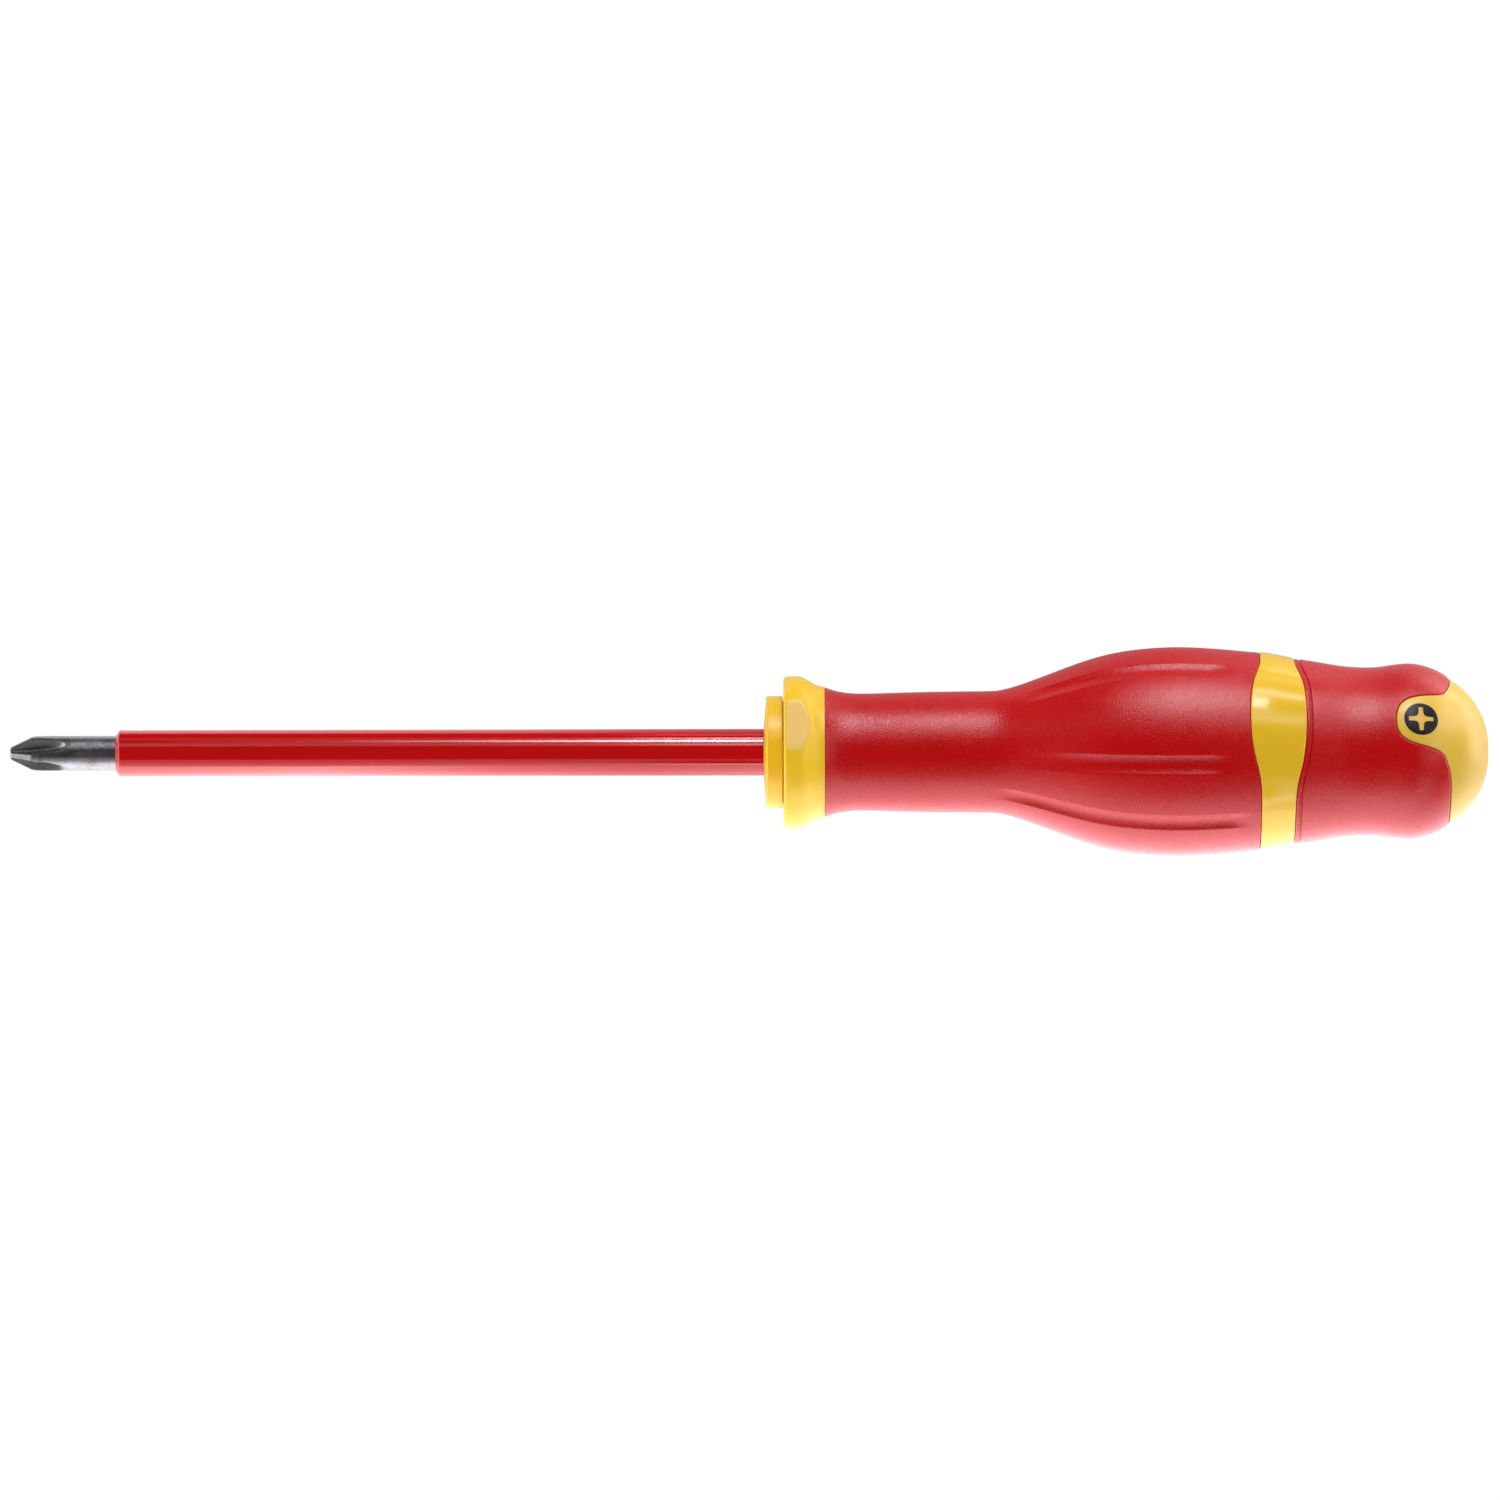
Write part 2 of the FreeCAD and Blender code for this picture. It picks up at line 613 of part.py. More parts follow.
# ------------------------------------------------------------ drive marks
def mark_outline(sk):
    """Disc outline, and a cross left standing inside it."""
    c = sk.addGeometry(
        Part.Circle(V(val("mark_x"), 0, 0), V(0, 0, 1), val("mark_radius")), False)
    sk.addConstraint(Sketcher.Constraint("PointOnObject", c, 3, -1))
    k = sk.addConstraint(
        Sketcher.Constraint("DistanceX", -1, 1, c, 3, val("mark_x")))
    sk.setExpression("Constraints[%d]" % k, "dims.mark_x")
    k = sk.addConstraint(Sketcher.Constraint("Radius", c, val("mark_radius")))
    sk.setExpression("Constraints[%d]" % k, "dims.mark_radius")
    a, w, x = val("cross_half_span"), val("cross_half_width"), val("mark_x")
    pts = [(-a, -w), (-w, -w), (-w, -a), (w, -a), (w, -w), (a, -w),
           (a, w), (w, w), (w, a), (-w, a), (-w, w), (-a, w)]
    ids = []
    for i in range(12):
        p, q = pts[i], pts[(i + 1) % 12]
        ids.append(sk.addGeometry(
            Part.LineSegment(V(x + p[0], p[1], 0), V(x + q[0], q[1], 0)), False))
    for i in range(12):
        sk.addConstraint(
            Sketcher.Constraint("Coincident", ids[i], 2, ids[(i + 1) % 12], 1))
    for i, p in enumerate(pts):
        name_x = "cross_half_span" if abs(p[0]) == a else "cross_half_width"
        name_y = "cross_half_span" if abs(p[1]) == a else "cross_half_width"
        k = sk.addConstraint(
            Sketcher.Constraint("DistanceX", -1, 1, ids[i], 1, x + p[0]))
        sk.setExpression("Constraints[%d]" % k, "dims.mark_x %s dims.%s"
                         % ("+" if p[0] > 0 else "-", name_x))
        k = sk.addConstraint(
            Sketcher.Constraint("DistanceY", -1, 1, ids[i], 1, p[1]))
        sk.setExpression("Constraints[%d]" % k, "%sdims.%s"
                         % ("" if p[1] > 0 else "-", name_y))


marks = []
for tag, sign in (("top", 1), ("bottom", -1)):
    # recess in the cap
    sk = new_sketch(cap, "mark_recess_" + tag, "XY_Plane")
    mark_outline(sk)
    sk.setExpression("AttachmentOffset.Base.z", "%sdims.mark_depth_z * 1mm"
                     % ("" if sign > 0 else "-"))
    before = cap.Shape.Volume
    p = cap.newObject("PartDesign::Pocket", "mark_recess_cut_" + tag)
    p.Profile = sk
    p.Type = "Length"
    p.setExpression("Length", "dims.mark_top_z - dims.mark_depth_z")
    p.Reversed = sign > 0
    doc.recompute()
    if not cap.Shape.Volume < before - 0.5:
        raise RuntimeError("the mark recess removed nothing")
    # the inlaid disc
    mark = new_body("drive_mark_" + tag)
    sk = new_sketch(mark, "mark_sketch_" + tag, "XY_Plane")
    mark_outline(sk)
    sk.setExpression("AttachmentOffset.Base.z", "%sdims.mark_depth_z * 1mm"
                     % ("" if sign > 0 else "-"))
    pad = mark.newObject("PartDesign::Pad", "mark_pad_" + tag)
    pad.Profile = sk
    pad.setExpression("Length", "dims.mark_top_z - dims.mark_depth_z")
    pad.Reversed = sign < 0
    doc.recompute()
    before = mark.Shape.Volume
    sk = new_sketch(mark, "mark_trim_" + tag, "XZ_Plane")
    outline(sk, [
        ("tongue_root_x", "trim_radius"),
        ("tongue_root_x", "tongue_root_radius"),
        ("core_step_x", "rg_end_radius"),
        ("core_step_x", "trim_radius"),
    ], curves={1: [("tongue_p%d_x" % i, "tongue_p%d_radius" % i)
                   for i in range(1, 5)]})
    doc.recompute()
    g = mark.newObject("PartDesign::Groove", "mark_flush_" + tag)
    g.Profile = sk
    g.ReferenceAxis = (sk, ["H_Axis"])
    g.Angle = 360.0
    doc.recompute()
    if not mark.Shape.Volume < before - 1.0:
        raise RuntimeError("the mark was not trimmed")
    marks.append(mark)

# --------------------------------------------------------- check and write
doc.recompute()
bad = [o.Name for o in doc.Objects
       if "Invalid" in o.State or "Error" in o.State]
if bad:
    raise RuntimeError("failed objects: " + ", ".join(bad))
nodes = [blade, sleeve, nose, guard, core, front, band, rear, cap] + marks
for b in nodes:
    if b.Shape.isNull() or not b.Shape.isValid():
        raise RuntimeError("bad shape: " + b.Label)
os.makedirs("parts", exist_ok=True)
for b in nodes:
    b.Shape.exportStep("parts/%s.step" % b.Label)
    print(b.Label, len(b.Shape.Solids), round(b.Shape.Volume, 2), b.Shape.BoundBox)
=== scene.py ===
import math

import bpy
import numpy as np
from mathutils import Matrix, Vector
from mathutils.geometry import delaunay_2d_cdt


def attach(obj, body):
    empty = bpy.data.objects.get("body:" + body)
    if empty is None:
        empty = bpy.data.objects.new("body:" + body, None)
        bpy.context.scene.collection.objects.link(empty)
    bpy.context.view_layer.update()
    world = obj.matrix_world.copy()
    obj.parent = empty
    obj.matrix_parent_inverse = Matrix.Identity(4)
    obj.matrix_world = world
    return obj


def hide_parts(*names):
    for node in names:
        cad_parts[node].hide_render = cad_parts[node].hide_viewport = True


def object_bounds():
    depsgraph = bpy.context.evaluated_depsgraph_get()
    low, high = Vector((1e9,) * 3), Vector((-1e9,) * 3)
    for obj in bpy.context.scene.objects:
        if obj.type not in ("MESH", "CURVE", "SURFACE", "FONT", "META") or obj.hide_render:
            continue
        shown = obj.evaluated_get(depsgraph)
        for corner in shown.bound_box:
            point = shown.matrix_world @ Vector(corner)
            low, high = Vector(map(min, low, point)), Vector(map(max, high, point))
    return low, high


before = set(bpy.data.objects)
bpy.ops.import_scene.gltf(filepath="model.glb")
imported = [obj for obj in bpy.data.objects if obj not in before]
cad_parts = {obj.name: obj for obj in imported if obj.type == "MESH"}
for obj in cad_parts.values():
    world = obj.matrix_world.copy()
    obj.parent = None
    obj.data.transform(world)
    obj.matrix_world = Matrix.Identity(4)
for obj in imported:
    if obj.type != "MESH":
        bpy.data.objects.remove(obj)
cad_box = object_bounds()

MM = 0.001
TAU = 2.0 * math.pi
D2R = math.pi / 180.0

# ------------------------------------------------------------------ camera
ELEV = 67.8 * D2R          # the flats and tongues lie 22.2 degrees above the line of sight
TO_CAM = Vector((0.0, -math.cos(ELEV), math.sin(ELEV)))
IMG_UP = Vector((0.0, math.sin(ELEV), math.cos(ELEV)))
IMG_RIGHT = Vector((1.0, 0.0, 0.0))
DIST = 2.5
CX = 0.1226


def place(obj, direction, dist, centre, up=IMG_RIGHT):
    """Put obj at centre + direction*dist, its -Z axis pointing back at centre."""
    z = direction.normalized()
    x = up.cross(z)
    if x.length < 1e-6:
        x = Vector((0, 1, 0)).cross(z)
    x.normalize()
    y = z.cross(x)
    m = Matrix((x, y, z)).transposed().to_4x4()
    m.translation = centre + z * dist
    obj.matrix_world = m


cam_data = bpy.data.cameras.new("camera")
cam = bpy.data.objects.new("camera", cam_data)
bpy.context.scene.collection.objects.link(cam)
cam_data.sensor_width = 36.0
cam_data.lens = 36.0 * DIST / 0.24867
cam_data.clip_start = 0.05
cam_data.clip_end = 20.0
aim = Vector((CX, 0.0, 0.0)) + IMG_UP * 0.00037
place(cam, TO_CAM, DIST, aim, up=IMG_UP)
ROLL = -0.09 * D2R
cam.matrix_world = cam.matrix_world @ Matrix.Rotation(ROLL, 4, "Z")
bpy.context.scene.camera = cam


# ------------------------------------------------------------ curve helpers
def bspline(poles, n=1500):
    """Points of the clamped uniform cubic B-spline through these poles."""
    P = np.array(poles, float)
    k, m = 3, len(P)
    U = np.concatenate([[0] * k, np.linspace(0, 1, m - k + 1), [1] * k])
    u = np.clip(np.linspace(0, 1, n), 0, 1 - 1e-12)
    N = np.array([(u >= U[i]) & (u < U[i + 1]) for i in range(len(U) - 1)], float)
    for d in range(1, k + 1):
        M = []
        for i in range(len(U) - 1 - d):
            t = np.zeros_like(u)
            if U[i + d] > U[i]:
                t += (u - U[i]) / (U[i + d] - U[i]) * N[i]
            if U[i + d + 1] > U[i + 1]:
                t += (U[i + d + 1] - u) / (U[i + d + 1] - U[i + 1]) * N[i + 1]
            M.append(t)
        N = np.array(M)
    return N[:m].T @ P


def table(poles):
    c = bspline(poles)
    return lambda x: np.interp(x, c[:, 0], c[:, 1])


def smooth(t):
    t = np.clip(t, 0.0, 1.0)
    return t * t * (3 - 2 * t)


def wrap(a):
    return (a + math.pi) % TAU - math.pi


# ---------------------------------------------------------------- profiles
front_r = table([(134.95, 10.79), (136, 10.31), (138, 9.83), (141, 9.62), (147, 9.85),
                 (154, 10.0), (160, 10.05), (164, 10.06), (168, 11.34), (172, 12.82),
                 (177, 14.77), (182, 16.31), (188, 17.19), (194, 17.45), (200, 17.09),
                 (205, 16.64), (210, 16.02)])
band_r = table([(203.5, 16.76), (206.5, 16.54), (208.6, 16.27), (210.6, 15.85),
                (212.6, 15.47), (216.0, 15.05)])
rear_r = table([(212.0, 15.52), (216.0, 14.97), (220.0, 14.17), (223.0, 13.92),
                (226.0, 13.83), (229.0, 14.27), (232.0, 14.63), (235.0, 14.0),
                (237.2, 13.0), (238.37, 12.06)])
cap_curve = np.vstack([
    bspline([(228.0, 14.08), (230.0, 14.45), (232.0, 14.56), (234.0, 14.18),
             (236.2, 13.6), (238.37, 12.06)])[:-1],
    bspline([(238.37, 12.06), (240.4, 10.75), (242.2, 8.9), (244.0, 6.2),
             (245.0, 2.9), (245.0, 0.0)]),
])
cap_s = np.concatenate([[0], np.cumsum(np.hypot(*np.diff(cap_curve, axis=0).T))])
CAP_END = cap_s[-1]


def cap_x(s):
    return np.interp(s, cap_s, cap_curve[:, 0])


def cap_r(s):
    return np.interp(s, cap_s, cap_curve[:, 1])


def cap_s_of_x(x):
    k = np.searchsorted(cap_curve[:, 0], 244.9)
    return np.interp(x, cap_curve[:k, 0], cap_s[:k])


def core_r(x):
    return np.interp(x, [128.15, 172.0, 188.0, 216.0, 223.0, 238.37],
                     [7.0, 7.0, 13.4, 13.4, 11.0, 11.0])


# seams, as x over the half-width y seen from above
def seam(x0, x1, x2, x3, x4):
    c = bspline([(y, x) for y, x in zip(
        (-20, -13, -10.5, -8, -4.5, 0, 4.5, 8, 10.5, 13, 20),
        (x4, x4, x3, x2, x1, x0, x1, x2, x3, x4, x4))])
    return lambda y: np.interp(y, c[:, 0], c[:, 1])


seam_front = seam(205.05, 205.25, 206.1, 206.95, 207.02)
seam_rear = seam(214.48, 214.3, 213.75, 212.8, 212.62)

tongue = [(238.37, 9.5), (238.32, 8.06), (237.58, 6.33), (237.06, 5.21),
          (235.07, 4.67), (232.1, 4.26), (229.64, 2.95), (228.98, 0.0)]
tongue_xy = bspline(tongue + [(x, -y) for x, y in tongue[-2::-1]], 3001)


def seam_loop(fn, rfn, psi):
    """Seam cut from above, as x at each angle round the axis."""
    x = np.full_like(psi, fn(20.0))
    for _ in range(8):
        x = fn(rfn(x) * np.sin(psi))
    return x


# -------------------------------------------------------------- mesh makers
def make_object(name, verts, faces, body="root"):
    me = bpy.data.meshes.new(name)
    me.from_pydata([tuple(v) for v in (np.asarray(verts) * MM)], [], faces)
    me.validate()
    me.polygons.foreach_set("use_smooth", [True] * len(me.polygons))
    me.update()
    o = bpy.data.objects.new(name, me)
    bpy.context.scene.collection.objects.link(o)
    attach(o, body)
    return o


def cyl(row):
    """(x, psi, r) to x, y, z; psi is measured from +Z towards -Y."""
    x, p, r = row[:, 0], row[:, 1], row[:, 2]
    return np.stack([x, -r * np.sin(p), r * np.cos(p)], axis=1)


def rings_to_mesh(name, rows, closed=False):
    """Rows of N points each round the axis. A row whose radius is 0 all round is a pole."""
    verts, index = [], []
    base = 0
    n = rows[0].shape[0]
    for row in rows:
        pts = cyl(row)
        if np.all(np.abs(row[:, 2]) < 1e-9):
            verts.append(pts[:1])
            index.append(("pole", base))
            base += 1
        else:
            verts.append(pts)
            index.append(("ring", base))
            base += n
    faces = []
    pairs = list(zip(index[:-1], index[1:]))
    if closed:
        pairs.append((index[-1], index[0]))
    k = np.arange(n)
    k2 = np.roll(k, -1)
    for (ta, a), (tb, b) in pairs:
        if ta == "ring" and tb == "ring":
            q = np.stack([a + k, a + k2, b + k2, b + k], axis=1)
            faces += q.tolist()
        elif ta == "ring":
            faces += np.stack([a + k, a + k2, np.full(n, b)], axis=1).tolist()
        elif tb == "ring":
            faces += np.stack([np.full(n, a), b + k2, b + k], axis=1).tolist()
    o = make_object(name, np.vstack(verts), faces)
    # normals outwards
    import bmesh
    bm = bmesh.new()
    bm.from_mesh(o.data)
    bmesh.ops.recalc_face_normals(bm, faces=bm.faces)
    bm.to_mesh(o.data)
    bm.free()
    return o


def turned(name, profile, n=256, closed=True):
    """Body of revolution from (x, r) points."""
    psi = np.linspace(0, TAU, n, endpoint=False)
    rows = [np.stack([np.full(n, x), psi, np.full(n, r)], axis=1) for x, r in profile]
    return rings_to_mesh(name, rows, closed)


def round_corner(p, a, b, rad, n=7):
    """Points of an arc that rounds corner p between neighbours a and b."""
    p, a, b = map(np.array, (p, a, b))
    u, v = (a - p) / np.linalg.norm(a - p), (b - p) / np.linalg.norm(b - p)
    ang = math.acos(np.clip(u @ v, -1, 1))
    t = rad / math.tan(ang / 2)
    c = p + (u + v) / np.linalg.norm(u + v) * rad / math.sin(ang / 2)
    s, e = p + u * t, p + v * t
    a0 = math.atan2(*(s - c)[::-1])
    a1 = math.atan2(*(e - c)[::-1])
    d = wrap(a1 - a0)
    return [tuple(c + rad * np.array([math.cos(a0 + d * k / (n - 1)),
                                      math.sin(a0 + d * k / (n - 1))])) for k in range(n)]


def rounded_loop(pts, step=1.0):
    """Closed (x, r, rad) outline to points, corners rounded, long runs divided."""
    out = []
    n = len(pts)
    for i, (x, r, rad) in enumerate(pts):
        a, b = pts[i - 1][:2], pts[(i + 1) % n][:2]
        if rad > 0:
            out += round_corner((x, r), a, b, rad)
        else:
            # two points close to a sharp corner keep its shading crisp
            for q in (a, b):
                L = math.hypot(q[0] - x, q[1] - r)
                f = min(0.012 / L, 0.3)
                out.append((x + (q[0] - x) * f, r + (q[1] - r) * f))
    dense = []
    for i, p in enumerate(out):
        q = out[(i + 1) % len(out)]
        dense.append(p)
        L = math.hypot(q[0] - p[0], q[1] - p[1])
        fs = [k / int(L / step) for k in range(1, int(L / step))]
        if L > 0.25:                       # keep the bend next to the edge only
            fs = [0.04 / L] + fs + [1 - 0.04 / L]
        for f in fs:
            dense.append((p[0] + (q[0] - p[0]) * f, p[1] + (q[1] - p[1]) * f))
    return dense


def offset_curve(x, psi, rfn, d, side, slope=None):
    """Curve round the axis moved d mm along the surface, to +x where side is 1."""
    r = rfn(x)
    k = np.sqrt(1 + ((rfn(x + 0.05) - rfn(x - 0.05)) / 0.1) ** 2)
    tx = (np.roll(x, -1) - np.roll(x, 1)) * k
    ty = wrap(np.roll(psi, -1) - np.roll(psi, 1)) * r
    L = np.hypot(tx, ty)
    return x + side * d * (ty / L) / k, psi - side * d * (tx / L) / r


EDGE = np.array([0.0, 0.015, 0.04, 0.08, 0.13, 0.19, 0.26, 0.34, 0.44, 0.6])


def edge_drop(d, rad):
    e = np.clip(rad - d, 0, None)
    return rad - np.sqrt(np.clip(rad * rad - e * e, 0, None))


# ------------------------------------------------------------ grip surfaces
FLUTES = [(s * a, x0, x1, run) for a, x0, x1, run in
          ((29.5, 165.5, 203.4, 15.0), (65.5, 161.3, 206.2, 9.0)) for s in (1, -1)]
FLUTES += [(180.0 - a, x0, x1, run) for a, x0, x1, run in FLUTES]


def flute_depth(x, psi, r):
    h = np.zeros_like(x)
    for a, x0, x1, run in FLUTES:
        t = wrap(psi - a * D2R) * r
        w = 1.62 * np.interp(x, [160, 178, 207], [0.74, 1.0, 1.0])
        # round-bottomed, with the steepest walls just inside softened edges
        q = 1 - (t / w) ** 2
        k = 0.13
        g = np.where(q > k, q, np.where(q > -k, (q + k) ** 2 / (4 * k), 0.0))
        e = smooth((x - x0) / run) * smooth((x1 - x) / 5.0)
        h += 0.54 * g * e
    return h


GAP = 0.03


def skin(name, n_rows, front_xp, back_xp, rfn, height, rad_front, rad_back,
         inner, drop_front=0.0, drop_back=0.0):
    """Closed shell between two seams: outer surface, rounded edges, walls and bore."""
    rows = []
    xf, pf = front_xp
    xb, pb = back_xp
    for i, d in enumerate(EDGE):
        x, p = offset_curve(xf, pf, rfn, d + GAP, 1)
        rows.append(np.stack([x, p, rfn(x) - edge_drop(d, rad_front)], 1))
    xa, pa = rows[-1][:, 0], rows[-1][:, 1]
    tail = []
    for i, d in enumerate(EDGE[::-1]):
        x, p = offset_curve(xb, pb, rfn, d + GAP, -1)
        tail.append(np.stack([x, p, rfn(x) - edge_drop(d, rad_back)], 1))
    xz, pz = tail[0][:, 0], tail[0][:, 1]
    dp = wrap(pz - pa)
    for k in range(1, n_rows):
        f = k / n_rows
        x = xa + (xz - xa) * f
        p = pa + dp * f
        rows.append(np.stack([x, p, rfn(x)], 1))
    rows += tail
    for row in rows:
        row[:, 2] += height(row[:, 0], row[:, 1], row[:, 2])
    # walls and bore
    last, first = rows[-1], rows[0]
    back_in = np.stack([last[:, 0], last[:, 1], inner(last[:, 0])], 1)
    front_in = np.stack([first[:, 0], first[:, 1], inner(first[:, 0])], 1)
    rows.append(np.stack([last[:, 0], last[:, 1], last[:, 2] - 0.5], 1))
    dpi = wrap(first[:, 1] - last[:, 1])
    for k in range(0, 25):
        f = k / 24
        x = back_in[:, 0] + (front_in[:, 0] - back_in[:, 0]) * f
        p = back_in[:, 1] + dpi * f
        rows.append(np.stack([x, p, inner(x)], 1))
    rows.append(np.stack([first[:, 0], first[:, 1], first[:, 2] - 0.5], 1))
    return rings_to_mesh(name, rows, closed=True)


N = 720
PSI = np.linspace(-math.pi, math.pi, N, endpoint=False)


def core_out(x):
    return core_r(x) + 0.02


# front grip
x_l = seam_loop(seam_front, front_r, PSI)
front_grip = skin(
    "front_grip_skin", 88,
    (np.full(N, 134.95), PSI), (x_l, PSI),
    front_r, lambda x, p, r: -flute_depth(x, p, r),
    0.10, 0.18, core_out)

# window band
x_r = seam_loop(seam_rear, rear_r, PSI)
x_lb = seam_loop(seam_front, band_r, PSI)
x_rb = seam_loop(seam_rear, band_r, PSI)


def band_height(x, p, r):
    a = seam_loop(seam_front, band_r, p)
    b = seam_loop(seam_rear, band_r, p)
    f = np.clip((x - a) / (b - a), 0, 1)
    crown = np.interp(b - a, [5.6, 9.4], [0.10, 0.26])
    return crown * (4 * f * (1 - f)) ** 0.8


window_band = skin(
    "window_band_skin", 34, (x_lb, PSI), (x_rb, PSI), band_r, band_height,
    0.18, 0.18, core_out)

# the tongue's edge, as a curve round the axis, spaced evenly along itself
def tongue_loop():
    x, y = tongue_xy[:, 0], tongue_xy[:, 1]
    r = rear_r(x)
    p = np.arcsin(np.clip(y / r, -1, 1))        # y here is the chord towards -Y
    top = np.stack([x, p], 1)[::-1]             # psi rising
    k = (top[:, 1] > -50 * D2R) & (top[:, 1] < 50 * D2R)
    top = top[k]
    side_p = np.linspace(top[-1, 1], math.pi - top[-1, 1], 400)[1:-1]
    side = np.stack([np.full(398, 238.37), side_p], 1)
    under = top + np.array([0.0, math.pi])
    side2 = side + np.array([0.0, math.pi])
    loop = np.vstack([top, side, under, side2])
    return loop


loop = tongue_loop()
ext = np.vstack([loop, loop[:1] + np.array([0, TAU])])
rr = rear_r(ext[:, 0])
seg = np.hypot(np.diff(ext[:, 0]) * 1.15, np.diff(ext[:, 1]) * rr[:-1])
cum = np.concatenate([[0], np.cumsum(seg)])
NT = 960
at = np.linspace(0, cum[-1], NT, endpoint=False)
TX = np.interp(at, cum, ext[:, 0])
TP = np.interp(at, cum, ext[:, 1])
for _ in range(6):                               # soften sampling kinks
    TX = 0.25 * np.roll(TX, 1) + 0.5 * TX + 0.25 * np.roll(TX, -1)
    TPn = TP + 0.25 * wrap(np.roll(TP, 1) - TP) + 0.25 * wrap(np.roll(TP, -1) - TP)
    TP = TPn

# rear grip: columns follow the tongue edge's own angles
_, p_in = offset_curve(TX, TP, rear_r, EDGE[-1] + GAP, -1)
x_front = seam_loop(seam_rear, rear_r, p_in)


def rear_height(x, p, r):
    lip = seam_loop(seam_rear, rear_r, p) + 0.95
    d = x - lip
    groove = -0.16 * np.exp(-(d / 0.11) ** 2)
    step = -0.10 * (1 - smooth((d + 0.05) / 0.18))
    proud = 0.07 * smooth((x - 224.0) / 8.0)
    return groove + step + proud


def rear_skin():
    rows = []
    for d in EDGE:
        x, p = offset_curve(x_front, p_in, rear_r, d + GAP, 1)
        rows.append(np.stack([x, p_in, rear_r(x) - edge_drop(d, 0.16)], 1))
    lip = seam_loop(seam_rear, rear_r, p_in) + 0.95
    for k in np.linspace(-0.33, 0.45, 22):
        x = lip + k
        rows.append(np.stack([x, p_in, rear_r(x)], 1))
    xa = rows[-1][:, 0]
    tail = []
    for d in EDGE[::-1]:
        x, p = offset_curve(TX, TP, rear_r, d + GAP, -1)
        tail.append(np.stack([x, p, rear_r(np.minimum(x, 238.37)) - edge_drop(d, 0.32)], 1))
    xz = tail[0][:, 0]
    M = 34
    for k in range(1, M):
        x = xa + (xz - xa) * (k / M)
        rows.append(np.stack([x, p_in, rear_r(x)], 1))
    rows += tail
    for row in rows:
        row[:, 2] += rear_height(row[:, 0], row[:, 1], row[:, 2])
    last, first = rows[-1], rows[0]
    rows.append(np.stack([last[:, 0], last[:, 1], last[:, 2] - 0.6], 1))
    dp = wrap(first[:, 1] - last[:, 1])
    for k in range(0, 25):
        f = k / 24
        x = last[:, 0] + (first[:, 0] - last[:, 0]) * f
        rows.append(np.stack([x, last[:, 1] + dp * f, core_out(x)], 1))
    rows.append(np.stack([first[:, 0], first[:, 1], first[:, 2] - 0.5], 1))
    return rings_to_mesh("rear_grip_skin", rows, closed=True)


rear_grip = rear_skin()


def cap_r_of_x(x):
    return cap_r(cap_s_of_x(np.clip(x, 228.0, 244.85)))


def cap_skin():
    rows = []
    for d in EDGE:
        x, p = offset_curve(TX, TP, cap_r_of_x, d + GAP, 1)
        rows.append(np.stack([x, p, cap_r_of_x(x) - edge_drop(d, 0.22)], 1))
    s0 = cap_s_of_x(rows[-1][:, 0])
    p0 = rows[-1][:, 1]
    M = 80
    for k in range(1, M):
        f = k / M
        s = s0 + (CAP_END - s0) * f
        rows.append(np.stack([cap_x(s), p0, cap_r(s)], 1))
    rows.append(np.stack([np.full(NT, 245.0), p0, np.zeros(NT)], 1))
    first = rows[0]
    head = []
    for x, r in ((241.0, 0.0), (241.0, 3.5), (241.0, 7.02), (239.7, 7.02), (238.6, 7.02), (238.6, 11.0)):
        head.append(np.stack([np.full(NT, x), first[:, 1], np.full(NT, r)], 1))
    x = first[:, 0]
    for f in (0.0, 0.5, 1.0):
        head.append(np.stack([238.5 + (x - 238.5) * f, first[:, 1], np.full(NT, 11.04)], 1))
    head.append(np.stack([x, first[:, 1], first[:, 2] - 0.5], 1))
    return rings_to_mesh("end_cap_skin", head + rows)


end_cap = cap_skin()

# ---------------------------------------------------------------- sleeve
sleeve = turned("blade_sleeve_skin", rounded_loop([
    (17.5, 2.93, 0.0), (17.5, 3.02, 0.05), (18.12, 3.86, 0.22), (124.86, 3.86, 0.0),
    (124.86, 3.55, 0.0), (140.0, 3.55, 0.0), (140.0, 2.93, 0.0)], step=2.0), n=256)

# -------------------------------------------------------------- nose ring
nose = turned("nose_ring_skin", rounded_loop([
    (124.88, 3.58, 0.0), (124.86, 3.9, 0.02), (125.33, 9.3, 0.34), (128.0, 9.3, 0.12),
    (128.0, 8.5, 0.0), (128.14, 8.5, 0.0), (128.14, 3.58, 0.0)], step=0.5), n=320)

# ----------------------------------------------------------- guard flange
guard_curve = bspline([(128.15, 11.95), (128.2, 12.5), (129.2, 12.57), (130.9, 12.62),
                       (132.0, 12.15), (133.2, 11.25), (134.3, 10.9), (134.95, 10.79)], 112)


def guard_mesh():
    n = 720
    psi = np.linspace(-math.pi, math.pi, n, endpoint=False)
    pts = [(128.15, r) for r in np.linspace(7.02, 11.9, 9)]
    pts += [tuple(p) for p in guard_curve]
    pts += [(134.93, r) for r in np.linspace(10.6, 7.02, 6)]
    rows = []
    c = np.abs(np.cos(psi))
    for x, r in pts:
        # the flat's own front edge is rounded
        e = min(max(0.42 - (x - 128.15), 0.0), 0.42)
        drop = 0.42 - math.sqrt(0.42 ** 2 - e * e)
        flat = np.where(c > 0.5, (11.77 - drop) / np.maximum(c, 0.5), 1e3)
        # soft minimum of the turned radius and the flat
        k = 0.26
        hh = np.clip(0.5 + 0.5 * (flat - r) / k, 0, 1)
        rad = flat * (1 - hh) + r * hh - k * hh * (1 - hh)
        rad = np.where(np.abs(flat - r) > 3, np.minimum(r, flat), rad)
        rows.append(np.stack([np.full(n, x), psi, rad], 1))
    inner = [(134.93, 7.02), (128.15, 7.02)]
    return rings_to_mesh("guard_flange_skin", rows, closed=True)


